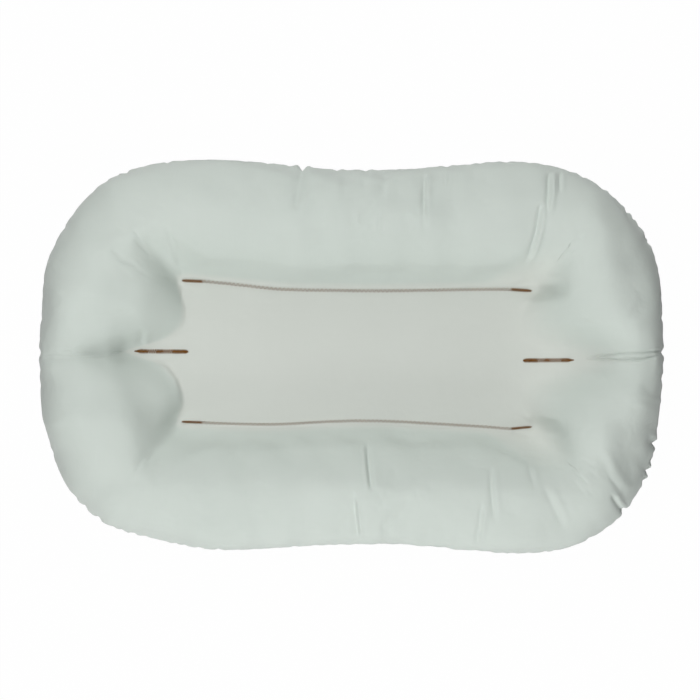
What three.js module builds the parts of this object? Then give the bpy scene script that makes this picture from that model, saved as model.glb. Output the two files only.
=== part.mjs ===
// Infant lounger: a stuffed ring of cotton cloth round a flat, unpadded sling.
// Two cloth panels, top and bottom, close at an edge seam half way up the ring. Two long zigzag rows
// and a short row at each end sew the panels to each other round the sling, and the filling lies in
// the ring between them.
// Millimetres. +Z is up, +X points to the foot end, and the origin is on the floor under the middle.
import * as THREE from "three";

// Overall sizes
const length = 737;
const width = 467;
const height = 116;
const seamHeight = 50; // edge seam above the floor
const slingHeight = 36; // top face of the sling above the floor

// Cloth and layers
const cloth = 1;
const layerGap = 0.3; // between pieces that lie on each other
const seamAllowance = 9; // panel edges turned in along the edge seam
const allowanceThickness = 1.6; // both edges and their overlock thread
const fillingTip = 4; // the filling stops this far from the corner where the two panels meet

// Fullness of the ring's cross-section: 1 is an ellipse, less is squarer
const topFullness = 0.92;
const bottomFullness = 0.5;

// Sewing thread
const rowWidth = 4.6; // zigzag, edge to edge
const rowInset = 3.2; // a row's middle line to the foot of the ring
const rowPitch = 5; // one zig and one zag
const threadWidth = 0.9;
const threadHeight = 0.6;
const tackLength = 24; // dense stitching at each end of a long row
const headRowLength = 62;
const footRowLength = 58;
const endRowTip = 9; // tapered outer end of a short row
const endRowReach = 6; // a short row stops this far inside the point of its fold

// Places of the long rows' ends, as shares of half the length
const rowHeadShare = -0.547;
const rowFootShare = 0.581;

// Spokes across the ring, clockwise from the middle of the head end as seen from above.
// Each holds the foot of the ring beside the sling (x, y), the edge seam (x, y) and the crown.
// x is a share of half the length, y of half the width, and the crown a share of the full crown.
const spokeShares = [
  [-0.712, 0.027, -0.998, 0.02, 0.8],
  [-0.605, 0.08, -0.992, 0.21, 0.93],
  [-0.542, 0.16, -0.978, 0.42, 1],
  [-0.54, 0.28, -0.925, 0.64, 1],
  [-0.556, 0.392, -0.8, 0.87, 1],
  [-0.49, 0.398, -0.64, 0.975, 0.98],
  [-0.36, 0.378, -0.45, 1, 0.96],
  [-0.23, 0.356, -0.26, 0.985, 0.94],
  [-0.07, 0.351, -0.07, 0.958, 0.94],
  [0.1, 0.348, 0.12, 0.956, 0.94],
  [0.27, 0.352, 0.31, 0.968, 0.95],
  [0.43, 0.356, 0.49, 0.99, 0.97],
  [0.53, 0.355, 0.65, 0.965, 0.98],
  [0.592, 0.347, 0.8, 0.86, 1],
  [0.555, 0.24, 0.925, 0.665, 1],
  [0.545, 0.12, 0.985, 0.45, 0.98],
  [0.61, 0.035, 0.998, 0.21, 0.94],
  [0.728, -0.018, 1, -0.01, 0.84],
  [0.61, -0.075, 0.987, -0.22, 0.94],
  [0.548, -0.16, 0.98, -0.43, 0.98],
  [0.556, -0.265, 0.94, -0.64, 1],
  [0.592, -0.37, 0.83, -0.845, 1],
  [0.53, -0.384, 0.68, -0.968, 0.98],
  [0.43, -0.372, 0.5, -0.992, 0.97],
  [0.27, -0.357, 0.31, -0.965, 0.95],
  [0.1, -0.343, 0.12, -0.95, 0.94],
  [-0.07, -0.345, -0.07, -0.953, 0.94],
  [-0.23, -0.36, -0.26, -0.97, 0.94],
  [-0.36, -0.358, -0.45, -0.972, 0.96],
  [-0.49, -0.35, -0.645, -0.912, 0.98],
  [-0.556, -0.338, -0.8, -0.825, 1],
  [-0.54, -0.25, -0.915, -0.635, 1],
  [-0.547, -0.15, -0.966, -0.42, 1],
  [-0.612, -0.035, -0.992, -0.2, 0.93],
];
const headSpoke = 0;
const headLeftSpoke = 4;
const footLeftSpoke = 13;
const footSpoke = 17;
const footRightSpoke = 21;
const headRightSpoke = 30;

// Mesh density
const stationsPerSpoke = 2;
const topSteps = 8;
// Angles of the rows of the ring's underside: the middle two bound the band that lies on the floor
const bottomDegrees = [0, 24, 50, 78, 102, 130, 156, 180];
const floorDegree = 78;

const underside = slingHeight - 2 * cloth - layerGap; // lower face of the sling
const slingMiddle = slingHeight - cloth - layerGap / 2;

const materials = {
  cloth: new THREE.MeshStandardMaterial({ color: 0xc6cec8, roughness: 0.95, metalness: 0 }),
  allowance: new THREE.MeshStandardMaterial({ color: 0xb9c1bb, roughness: 1, metalness: 0 }),
  filling: new THREE.MeshStandardMaterial({ color: 0xf2f1ec, roughness: 1, metalness: 0 }),
  thread: new THREE.MeshStandardMaterial({ color: 0x8a5f36, roughness: 0.7, metalness: 0 }),
};

const lounger = new THREE.Group();

// Adds a named piece to the lounger.
function add(name, geometry, material, z = 0) {
  const mesh = new THREE.Mesh(geometry, material);
  mesh.name = name;
  mesh.position.z = z;
  lounger.add(mesh);
}

// Smooth value between the entries of a closed table's column, at a place counted in entries.
function columnAt(column, place) {
  const count = spokeShares.length;
  const start = Math.floor(place);
  const t = place - start;
  const entry = (k) => spokeShares[(start + k + count) % count][column];
  const [a, b, c, d] = [entry(-1), entry(0), entry(1), entry(2)];
  return b + 0.5 * t * (c - a + t * (2 * a - 5 * b + 4 * c - d + t * (3 * (b - c) + d - a)));
}

// Stretches a column of station values so that it spans exactly from -half to half.
function fitted(values, half) {
  const low = Math.min(...values);
  const high = Math.max(...values);
  return values.map((v) => ((v - low) / (high - low) - 0.5) * 2 * half);
}

// The stations round the ring: the foot of the ring, the edge seam, and the crown's share.
const stationCount = spokeShares.length * stationsPerSpoke;
const places = Array.from({ length: stationCount }, (_, i) => i / stationsPerSpoke);
const seamX = fitted(places.map((p) => columnAt(2, p)), length / 2);
const seamY = fitted(places.map((p) => columnAt(3, p)), width / 2);
const stations = places.map((p, i) => ({
  inner: new THREE.Vector2((columnAt(0, p) * length) / 2, (columnAt(1, p) * width) / 2),
  outer: new THREE.Vector2(seamX[i], seamY[i]),
  crown: Math.min(1, columnAt(4, p)),
}));

// A point of the ring's section at a station. Angle 0 is at the edge seam and 180 at the sling.
// The inset is how far inside the outer face of the cloth the point lies.
function ringPoint(station, degrees, top, inset) {
  const angle = THREE.MathUtils.degToRad(degrees);
  const across = station.outer.clone().sub(station.inner);
  const half = across.length() / 2;
  const middle = station.outer.clone().add(station.inner).multiplyScalar(0.5);
  const place = middle.addScaledVector(across.normalize(), (half - inset) * Math.cos(angle));
  const outerShare = (1 + Math.cos(angle)) / 2;
  const step = Math.min(inset, cloth);
  let z;
  if (top) {
    const seam = seamHeight + layerGap / 2;
    const base = THREE.MathUtils.lerp(slingHeight - step, seam, outerShare);
    const crown = (height - (slingHeight + seam) / 2) * station.crown;
    z = base + (crown - inset) * Math.sin(angle) ** topFullness;
  } else {
    const base = THREE.MathUtils.lerp(underside + step, seamHeight - layerGap / 2, outerShare);
    const floorSine = Math.sin(THREE.MathUtils.degToRad(floorDegree));
    const drop = Math.min(1, (Math.sin(angle) / floorSine) ** bottomFullness);
    z = base * (1 - drop) + inset * drop;
  }
  return [place.x, place.y, z];
}

const topDegrees = Array.from({ length: topSteps + 1 }, (_, j) => (180 * j) / topSteps);

// Rows of points round the ring, from the edge seam to the sling, on the face at an inset.
function ringRows(top, inset) {
  const degrees = top ? topDegrees : bottomDegrees;
  return degrees.map((d) => stations.map((s) => ringPoint(s, d, top, inset)));
}

// Triangles of the face between rows that run clockwise and step inwards, seen from above.
// A row of one point closes the face. From and to are the first and last station of an open strip.
function faceBetween(rows, from = 0, to = stationCount) {
  const triangles = [];
  for (let j = 0; j + 1 < rows.length; j++) {
    for (let i = from; i < to; i++) {
      const next = (i + 1) % stationCount;
      const [a, b] = [rows[j][i % stationCount], rows[j][next]];
      if (rows[j + 1].length === 1) {
        triangles.push([a, rows[j + 1][0], b]);
        continue;
      }
      const [c, d] = [rows[j + 1][i % stationCount], rows[j + 1][next]];
      triangles.push([a, c, b], [b, c, d]);
    }
  }
  return triangles;
}

const reversed = (triangles) => triangles.map(([a, b, c]) => [a, c, b]);

function toGeometry(triangles) {
  const positions = new Float32Array(triangles.flat(2));
  return new THREE.BufferGeometry().setAttribute("position", new THREE.BufferAttribute(positions, 3));
}

// A cloth panel: its outer face, its inner face one cloth thickness away, and its cut edge.
function panel(top) {
  const face = slingHeight - (top ? 0 : cloth + layerGap);
  const upper = [...ringRows(top, top ? 0 : cloth), [[0, 0, face]]];
  const lower = [...ringRows(top, top ? cloth : 0), [[0, 0, face - cloth]]];
  return toGeometry([
    ...faceBetween(upper),
    ...reversed(faceBetween(lower)),
    ...faceBetween([lower[0], upper[0]]),
  ]);
}

// The two turned-in panel edges, overlocked to each other, inside the edge seam.
function turnedInEdges() {
  const rim = cloth + 2 * layerGap;
  const half = allowanceThickness / 2;
  const row = (depth, z) =>
    stations.map(({ inner, outer }) => {
      const inwards = inner.clone().sub(outer).normalize();
      const place = outer.clone().addScaledVector(inwards, depth);
      return [place.x, place.y, seamHeight + z];
    });
  const corners = [
    row(rim, half),
    row(rim + seamAllowance, half),
    row(rim + seamAllowance, -half),
    row(rim, -half),
  ];
  return toGeometry(faceBetween([...corners, corners[0]]));
}

// One batt of filling, between two spokes of the ring.
function filling(fromSpoke, toSpoke) {
  const inset = cloth + layerGap;
  const edge = inset + 2 * layerGap + seamAllowance;
  const from = fromSpoke * stationsPerSpoke;
  const to = (toSpoke < fromSpoke ? toSpoke + spokeShares.length : toSpoke) * stationsPerSpoke;
  const tip = (depth, z) =>
    stations.map(({ inner, outer }) => {
      const across = outer.clone().sub(inner);
      const share = depth > 0 ? depth / across.length() : 1 + depth / across.length();
      const place = inner.clone().addScaledVector(across, share);
      return [place.x, place.y, z];
    });
  const seamTip = tip(-edge, seamHeight);
  const slingTip = tip(fillingTip, slingMiddle);
  const topRows = [seamTip, ...ringRows(true, inset).slice(1, -1), slingTip];
  const bottomRows = [seamTip, ...ringRows(false, inset).slice(1, -1), slingTip];
  trimEnds([...new Set([...topRows, ...bottomRows])], from, to);
  return toGeometry([
    ...faceBetween(topRows, from, to),
    ...reversed(faceBetween(bottomRows, from, to)),
    ...endCap(topRows, bottomRows, from),
    ...reversed(endCap(topRows, bottomRows, to % stationCount)),
  ]);
}

// Draws the two end stations of a batt back, so that it stays clear of the next batt.
function trimEnds(rows, from, to) {
  const [first, last] = [from, to % stationCount];
  const back = (point, inwards) => {
    const [p, q] = [new THREE.Vector3(...point), new THREE.Vector3(...inwards)];
    return p.lerp(q, layerGap / p.distanceTo(q)).toArray();
  };
  for (const row of rows) {
    row[first] = back(row[first], row[(from + 1) % stationCount]);
    row[last] = back(row[last], row[(to - 1) % stationCount]);
  }
}

// The flat end of a batt: a fan from the middle of its section.
function endCap(topRows, bottomRows, station) {
  const loop = [...topRows, ...bottomRows.slice(1, -1).reverse()].map((row) => row[station]);
  const sum = loop.reduce((total, p) => total.map((v, k) => v + p[k]));
  const middle = sum.map((v) => v / loop.length);
  return loop.map((p, k) => [middle, loop[(k + 1) % loop.length], p]);
}

// The y of the ring's foot beside the sling, at an x, between two spokes on one side.
function footOfRing(x, fromSpoke, toSpoke) {
  for (let i = fromSpoke * stationsPerSpoke; i < toSpoke * stationsPerSpoke; i++) {
    const [a, b] = [stations[i].inner, stations[i + 1].inner];
    if ((a.x - x) * (b.x - x) <= 0) return THREE.MathUtils.mapLinear(x, a.x, b.x, a.y, b.y);
  }
  throw new Error("no foot of the ring at x " + x);
}

// The middle line of a long row, beside the foot of the ring, from the head end to the foot end.
function rowLine(left, fromX, toX) {
  const spokes = left ? [headLeftSpoke, footLeftSpoke] : [footRightSpoke, headRightSpoke];
  const count = Math.round((toX - fromX) / rowPitch) * 2;
  return Array.from({ length: count + 1 }, (_, k) => {
    const x = THREE.MathUtils.lerp(fromX, toX, k / count);
    const inwards = left ? -rowInset : rowInset;
    return new THREE.Vector2(x, footOfRing(x, ...spokes) + inwards);
  });
}

// A flat band along a line of points, extruded upwards. Its corners are mitred.
function band(points, bandWidth) {
  const edge = (side) =>
    points.map((p, k) => {
      const before = points[Math.max(k - 1, 0)];
      const after = points[Math.min(k + 1, points.length - 1)];
      const into = p === before ? after.clone().sub(p) : p.clone().sub(before);
      const out = p === after ? into : after.clone().sub(p);
      const along = into.clone().normalize().add(out.clone().normalize()).normalize();
      const reach = (side * bandWidth) / 2 / along.dot(into.normalize());
      return new THREE.Vector2(p.x - along.y * reach, p.y + along.x * reach);
    });
  const shape = new THREE.Shape([...edge(-1), ...edge(1).reverse()]);
  return new THREE.ExtrudeGeometry(shape, { depth: threadHeight, bevelEnabled: false });
}

// A zigzag thread along the middle of a long row, between its two tacks.
function zigzag(left) {
  const ends = rowEnds();
  const line = rowLine(left, ends.head + tackLength + layerGap, ends.foot - tackLength - layerGap);
  const swing = (rowWidth - threadWidth) / 2;
  const points = line.map((p, k) => new THREE.Vector2(p.x, p.y + (k % 2 ? swing : -swing)));
  return band(points, threadWidth);
}

function rowEnds() {
  return { head: (rowHeadShare * length) / 2, foot: (rowFootShare * length) / 2 };
}

// The dense stitching at one end of a long row.
function tack(left, atHead) {
  const ends = rowEnds();
  const line = atHead
    ? rowLine(left, ends.head, ends.head + tackLength)
    : rowLine(left, ends.foot - tackLength, ends.foot);
  return band([line[0], line[line.length - 1]], rowWidth);
}

// A short row at an end of the sling, on the fold's middle line: its outer tip is drawn to a point.
function endRow(spoke, rowLength) {
  const { inner } = stations[spoke * stationsPerSpoke];
  const inwards = -Math.sign(inner.x);
  const half = rowWidth / 2;
  const shape = new THREE.Shape();
  shape.moveTo(0, -threadWidth / 2);
  shape.lineTo(inwards * endRowTip, -half);
  shape.lineTo(inwards * (rowLength - half), -half);
  shape.absarc(inwards * (rowLength - half), 0, half, -Math.PI / 2, Math.PI / 2, inwards < 0);
  shape.lineTo(inwards * endRowTip, half);
  shape.lineTo(0, threadWidth / 2);
  const options = { depth: threadHeight, bevelEnabled: false, curveSegments: 6 };
  const start = inner.x + inwards * endRowReach;
  return new THREE.ExtrudeGeometry(shape, options).translate(start, inner.y, 0);
}

add("top_panel", panel(true), materials.cloth);
add("bottom_panel", panel(false), materials.cloth);
add("turned_in_edges", turnedInEdges(), materials.allowance);

add("head_filling", filling(headRightSpoke, headLeftSpoke), materials.filling);
add("left_filling", filling(headLeftSpoke, footLeftSpoke), materials.filling);
add("foot_filling", filling(footLeftSpoke, footRightSpoke), materials.filling);
add("right_filling", filling(footRightSpoke, headRightSpoke), materials.filling);

// Each row has a needle thread on the sling's top face and a bobbin thread on its lower face.
const threadFaces = [
  { thread: "needle", z: slingHeight + layerGap },
  { thread: "bobbin", z: underside - layerGap - threadHeight },
];
for (const { thread, z } of threadFaces) {
  for (const side of ["left", "right"]) {
    add(`${side}_row_${thread}_thread`, zigzag(side === "left"), materials.thread, z);
    for (const end of ["head", "foot"]) {
      const name = `${side}_row_${end}_tack_${thread}`;
      add(name, tack(side === "left", end === "head"), materials.thread, z);
    }
  }
  add(`head_row_${thread}_thread`, endRow(headSpoke, headRowLength), materials.thread, z);
  add(`foot_row_${thread}_thread`, endRow(footSpoke, footRowLength), materials.thread, z);
}

export default lounger;
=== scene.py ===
"""Looks of an infant lounger: two cotton covers, filling, turned-in edges and zigzag sewing thread.

Metres, +Z up, +X to the foot end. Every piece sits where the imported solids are.
"""
import logging
import math
from dataclasses import dataclass, field, replace
from enum import Enum

import bpy
import numpy as np
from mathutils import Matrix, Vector


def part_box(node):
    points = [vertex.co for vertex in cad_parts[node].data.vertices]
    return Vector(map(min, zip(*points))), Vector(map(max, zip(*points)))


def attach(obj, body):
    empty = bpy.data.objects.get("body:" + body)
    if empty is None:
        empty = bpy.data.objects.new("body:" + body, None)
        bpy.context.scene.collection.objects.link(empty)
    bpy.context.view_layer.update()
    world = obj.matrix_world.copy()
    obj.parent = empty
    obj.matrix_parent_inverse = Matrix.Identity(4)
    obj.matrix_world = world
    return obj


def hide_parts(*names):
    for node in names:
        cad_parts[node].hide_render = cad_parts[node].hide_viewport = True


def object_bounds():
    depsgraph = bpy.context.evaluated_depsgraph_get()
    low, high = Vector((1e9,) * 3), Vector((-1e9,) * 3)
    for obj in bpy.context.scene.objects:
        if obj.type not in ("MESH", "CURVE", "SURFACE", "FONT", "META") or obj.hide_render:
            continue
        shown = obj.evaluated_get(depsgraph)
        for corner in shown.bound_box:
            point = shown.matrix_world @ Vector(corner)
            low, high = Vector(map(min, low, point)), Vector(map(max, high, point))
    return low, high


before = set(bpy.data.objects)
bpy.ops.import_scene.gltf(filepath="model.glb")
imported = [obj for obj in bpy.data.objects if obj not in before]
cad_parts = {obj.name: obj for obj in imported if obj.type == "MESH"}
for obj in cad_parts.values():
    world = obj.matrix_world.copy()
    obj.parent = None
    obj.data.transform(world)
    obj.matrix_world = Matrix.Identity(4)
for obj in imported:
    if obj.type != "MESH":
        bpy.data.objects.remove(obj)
CAD_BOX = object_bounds()

Array = np.ndarray
Pair = tuple[float, float]
Triple = tuple[float, float, float]
Material = bpy.types.Material
Node = bpy.types.Node
NodeTree = bpy.types.NodeTree
Piece = bpy.types.Object
Socket = bpy.types.NodeSocket

LOG = logging.getLogger("lounger")
ROOT = "root"
NEARLY_ZERO = 1e-12
CLOTH_SETTINGS = {
    "quality": 5,
    "mass": 0.15,
    "air_damping": 1,
    "tension_stiffness": 40,
    "compression_stiffness": 20,
    "shear_stiffness": 8,
    "bending_stiffness": 0.05,
    "tension_damping": 10,
    "compression_damping": 10,
    "shear_damping": 5,
    "bending_damping": 0.5,
    "vertex_group_mass": "pin",
    "pin_stiffness": 5,
    "use_pressure": True,
    "vertex_group_pressure": "pressure",
    "vertex_group_shrink": "ease",
    "shrink_min": 0,
}


class Face(Enum):
    """Which panel of the cover a surface belongs to."""

    TOP = 1
    BOTTOM = -1


class Side(Enum):
    """The lying child's left or right."""

    LEFT = "left"
    RIGHT = "right"


class End(Enum):
    """The head or the foot end of the lounger."""

    HEAD = "head"
    FOOT = "foot"


# Numbers on grids and curves


def catmull_rom(values: Array, places: Array, closed: bool) -> Array:
    """Smooth values between the entries of an array's first axis.

    Args:
        values: Entries along axis 0.
        places: Where to read, counted in entries.
        closed: Whether the last entry is followed by the first.

    Returns:
        One row for each place.
    """
    count = len(values)
    start = np.floor(places).astype(int)
    if not closed:
        start = np.clip(start, 0, count - 2)
    t = (places - start).reshape((-1,) + (1,) * (values.ndim - 1))

    def entry(offset: int) -> Array:
        """The entries at an offset from each start."""
        index = start + offset
        if closed:
            return values[index % count]
        inside = values[np.clip(index, 0, count - 1)]
        before = 2 * values[0] - values[1]
        after = 2 * values[-1] - values[-2]
        shape = (-1,) + (1,) * (values.ndim - 1)
        inside = np.where((index < 0).reshape(shape), before, inside)
        return np.where((index > count - 1).reshape(shape), after, inside)

    a, b, c, d = (entry(k) for k in (-1, 0, 1, 2))
    return b + 0.5 * t * (c - a + t * (2 * a - 5 * b + 4 * c - d + t * (3 * (b - c) + d - a)))


def smooth_step(low: float, high: float, values: Array) -> Array:
    """A smooth rise from 0 at low to 1 at high."""
    t = np.clip((values - low) / (high - low), 0, 1)
    return t * t * (3 - 2 * t)


def graded_distances(total: float, first: float, widest: float, ratio: float) -> Array:
    """Distances from 0 to total whose steps are small at both ends.

    Args:
        total: The whole distance.
        first: The step at each end.
        widest: The longest step.
        ratio: How fast the steps grow.

    Returns:
        Rising distances, 0 and total included.
    """
    steps = []
    step = first
    while 2 * sum(steps) < total:
        steps.append(step)
        step = min(widest, step * ratio)
    both = np.array(steps + steps[::-1])
    return np.concatenate([[0.0], np.cumsum(both)]) * (total / both.sum())


def grid_normals(grid: Array, face: Face) -> Array:
    """Unit normals, pointing out of the lounger, of a grid that is closed along its second axis."""
    down = np.gradient(grid, axis=0)
    along = (np.roll(grid, -1, 1) - np.roll(grid, 1, 1)) / 2
    normal = np.cross(down, along) * face.value
    return normal / np.maximum(np.linalg.norm(normal, axis=2, keepdims=True), NEARLY_ZERO)


def arc_lengths(points: Array) -> Array:
    """Distances along an array's first axis, from 0 at its first entry."""
    steps = np.linalg.norm(np.diff(points, axis=0), axis=-1)
    return np.concatenate([np.zeros((1,) + steps.shape[1:]), np.cumsum(steps, axis=0)])


def closed_quads(rows: int, count: int) -> list[list[int]]:
    """Faces of a grid that is closed along both axes."""
    index = np.arange(rows * count).reshape(rows, count)
    below, right = np.roll(index, -1, 0), np.roll(index, -1, 1)
    corner = np.roll(below, -1, 1)
    return np.stack([index, below, corner, right], axis=-1).reshape(-1, 4).tolist()


def seeded_waves(points: Array, seed: int, count: int, longest: float, shortest: float) -> Array:
    """Soft uneven hills: a sum of seeded waves in all directions, about -1 to 1."""
    rng = np.random.default_rng(seed)
    total = np.zeros(points.shape[:-1])
    for _ in range(count):
        direction = rng.normal(size=3)
        direction /= np.linalg.norm(direction)
        wavelength = rng.uniform(shortest, longest)
        phase = rng.uniform(0, math.tau)
        total += np.sin(points @ direction * (math.tau / wavelength) + phase)
    return total / math.sqrt(count)


def distance_to_line(points: Array, line: Array) -> tuple[Array, Array, Array]:
    """Distances in a plane from points to a line of straight pieces.

    Args:
        points: Any array of points whose last axis holds two coordinates.
        line: The line's points.

    Returns:
        The distance, the side's sign, and the place along the line from 0 to 1.
    """
    lengths = np.linalg.norm(np.diff(line, axis=0), axis=1)
    total = lengths.sum()
    nearest = np.full(points.shape[:-1], np.inf)
    side = np.zeros(points.shape[:-1])
    place = np.zeros(points.shape[:-1])
    begun = 0.0
    for a, b, length in zip(line[:-1], line[1:], lengths):
        along = (b - a) / length
        offset = points - a
        t = np.clip(offset @ along, 0, length)
        gap = np.linalg.norm(offset - t[..., None] * along, axis=-1)
        closer = gap < nearest
        nearest = np.where(closer, gap, nearest)
        turned = along[1] * offset[..., 0] - along[0] * offset[..., 1]
        side = np.where(closer, np.sign(turned), side)
        place = np.where(closer, (begun + t) / total, place)
        begun += length
    return nearest, side, place


# Objects and nodes


def linked(name: str, data: bpy.types.ID) -> Piece:
    """A new object in the scene for a mesh, a lamp or a camera."""
    made = bpy.data.objects.new(name, data)
    bpy.context.scene.collection.objects.link(made)
    return made


def smooth_piece(
    name: str, points: Array, faces: list[list[int]], material: Material
) -> Piece:
    """A smooth shaded object of points and faces in one material."""
    mesh = bpy.data.meshes.new(name)
    mesh.from_pydata(points.reshape(-1, 3).tolist(), [], faces)
    mesh.shade_smooth()
    mesh.materials.append(material)
    return linked(name, mesh)


class NodeBuilder:
    """Adds and links the nodes of a geometry tree, a shader group or a material."""

    def __init__(self, tree: NodeTree) -> None:
        """Keeps the tree that is filled."""
        self.tree = tree

    def link(self, source: Socket, target: Socket) -> None:
        """Links an output to an input."""
        self.tree.links.new(source, target)

    def add(self, kind: str, inputs: dict[int | str, object] | None = None, **settings: object) -> Node:
        """Adds a node, sets it up and links or fills its inputs."""
        made = self.tree.nodes.new(kind)
        for key, value in settings.items():
            setattr(made, key, value)
        for key, value in (inputs or {}).items():
            if isinstance(value, Socket):
                self.link(value, made.inputs[key])
            else:
                made.inputs[key].default_value = value
        return made

    def out(self, kind: str, inputs: dict[int | str, object] | None = None, **settings: object) -> Socket:
        """The first output of an added node."""
        return self.add(kind, inputs, **settings).outputs[0]

    def math(self, operation: str, *values: object) -> Socket:
        """A number worked out from others."""
        return self.out("ShaderNodeMath", dict(enumerate(values)), operation=operation)

    def vector(self, operation: str, first: object, second: object) -> Socket:
        """A vector worked out from two others, or scaled by a number."""
        slot = "Scale" if operation == "SCALE" else 1
        return self.out("ShaderNodeVectorMath", {0: first, slot: second}, operation=operation)


# The photograph's view


@dataclass(frozen=True)
class PhotoView:
    """The view from straight above, in the photograph's pixels."""

    pixels: float = 700
    centre_x: float = 351.5
    centre_y: float = 356.5
    object_pixels: float = 623
    lens: float = 85
    sensor: float = 36

    def metres_per_pixel(self) -> float:
        """The scale in the plane of the edge seam."""
        low, high = CAD_BOX
        return (high.x - low.x) / self.object_pixels

    def seam_height(self) -> float:
        """Height of the plane in which the outline is measured."""
        low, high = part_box("turned_in_edges")
        return (low.z + high.z) / 2

    def distance(self) -> float:
        """From the camera to the plane of the edge seam."""
        return self.pixels * self.metres_per_pixel() * self.lens / self.sensor

    def eye(self) -> Vector:
        """Where the camera stands, over the middle of the photograph."""
        scale = self.metres_per_pixel()
        middle = self.pixels / 2
        x = (middle - self.centre_x) * scale
        y = (self.centre_y - middle) * scale
        return Vector((x, y, self.seam_height() + self.distance()))

    def project(self, points: Array) -> Array:
        """Pixels of points, y down, as an array whose last axis holds two coordinates."""
        eye = self.eye()
        depth = (eye.z - points[..., 2]) / self.distance()
        scale = self.metres_per_pixel()
        x = self.pixels / 2 + (points[..., 0] - eye.x) / depth / scale
        y = self.pixels / 2 - (points[..., 1] - eye.y) / depth / scale
        return np.stack([x, y], axis=-1)


# The ring's plan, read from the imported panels


@dataclass
class RingPlan:
    """Outlines of the ring at stations, clockwise from the head end as seen from above."""

    foot: Array
    seam: Array
    crown: Array
    seam_height: float
    sling_height: float
    underside: float

    @classmethod
    def from_panels(cls) -> "RingPlan":
        """Reads the foot of the ring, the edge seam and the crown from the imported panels."""
        top = cls.node_points("top_panel")
        bottom = cls.node_points("bottom_panel")
        low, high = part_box("turned_in_edges")
        seam_height = (low.z + high.z) / 2
        radius = np.hypot(top[:, 0], top[:, 1])
        middle, flat, layer, near = 0.001, 1e-5, 0.0003, 0.0005
        sling_height = top[radius < middle, 2].max()
        underside = bottom[np.hypot(bottom[:, 0], bottom[:, 1]) < middle, 2].min()
        foot = top[(abs(top[:, 2] - sling_height) < flat) & (radius > middle), :2]
        seam = top[abs(top[:, 2] - seam_height) < layer, :2]
        gaps = np.linalg.norm(seam[:, None] - seam[None], axis=2)
        np.fill_diagonal(gaps, np.inf)
        partner = seam[gaps.argmin(1)]
        seam = seam[np.linalg.norm(seam, axis=1) > np.linalg.norm(partner, axis=1)]
        foot = cls.clockwise_from_head(foot)
        seam = cls.clockwise_from_head(seam)
        crown = np.array([
            top[np.hypot(*(top[:, :2] - (a + b) / 2).T) < near, 2].max() for a, b in zip(foot, seam)
        ])
        return cls(foot, seam, crown, seam_height, sling_height, underside)

    @staticmethod
    def node_points(node: str) -> Array:
        """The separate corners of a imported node."""
        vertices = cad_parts[node].data.vertices
        points = np.zeros(len(vertices) * 3)
        vertices.foreach_get("co", points)
        return np.unique(points.reshape(-1, 3).round(6), axis=0)

    @staticmethod
    def clockwise_from_head(points: Array) -> Array:
        """Outline points in clockwise order, the one nearest the head end first."""
        ordered = points[np.argsort(-np.arctan2(points[:, 1], points[:, 0]))]
        return np.roll(ordered, -ordered[:, 0].argmin(), axis=0)

    def resampled(self, places: Array) -> "RingPlan":
        """The same plan with stations at other places, given as shares of the way round."""
        places = places * len(self.foot)
        return replace(
            self,
            foot=catmull_rom(self.foot, places, True),
            seam=catmull_rom(self.seam, places, True),
            crown=catmull_rom(self.crown, places, True),
        )

    def outwards(self) -> Array:
        """Unit directions from the foot of the ring to the edge seam."""
        across = self.seam - self.foot
        return across / np.linalg.norm(across, axis=1, keepdims=True)

    def perimeter(self) -> tuple[Array, float]:
        """Distance of each station along the edge seam, and the whole length."""
        steps = np.linalg.norm(np.roll(self.seam, -1, 0) - self.seam, axis=1)
        return np.concatenate([[0], np.cumsum(steps)[:-1]]), float(steps.sum())

    def seam_points(self) -> Array:
        """The edge seam's points at its height."""
        height = np.full((len(self.seam), 1), self.seam_height)
        return np.concatenate([self.seam, height], axis=1)

    def from_foot(self, grid: Array) -> Array:
        """Distance in plan from each grid point to its station's foot."""
        return np.linalg.norm(grid[..., :2] - self.foot, axis=2)

    def level(self, face: Face) -> float:
        """Height of the sling's top face or of its underside."""
        return self.sling_height if face is Face.TOP else self.underside

    def bend(self) -> Array:
        """How strongly the edge seam turns at each station: over 0 at corners, under 0 at a waist."""
        distance, total = self.perimeter()
        stretches = 34
        reach = total / stretches

        def seam_at(places: Array) -> Array:
            """Seam points at distances along the seam."""
            return np.stack([np.interp(places, distance, axis, period=total) for axis in self.seam.T], axis=1)

        before = self.seam - seam_at(distance - reach)
        after = seam_at(distance + reach) - self.seam
        cross = before[:, 1] * after[:, 0] - before[:, 0] * after[:, 1]
        sizes = np.linalg.norm(before, axis=1) * np.linalg.norm(after, axis=1)
        return np.arcsin(np.clip(cross / sizes, -1, 1)) / reach

    def openness(self, rows: "RowPlan", blend: float) -> Array:
        """1 at stations where the ring runs into the sling without a seam, 0 along the long rows.

        Args:
            rows: The sewn rows.
            blend: How far the change starts before a long row's end.

        Returns:
            One share for each station.
        """
        low, high = rows.long_reach()
        past = 0.006
        x = self.foot[:, 0]
        towards_head = 1 - smooth_step(low - past, low + blend, x)
        towards_foot = smooth_step(high - blend, high + past, x)
        return np.maximum(towards_head, towards_foot)


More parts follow.
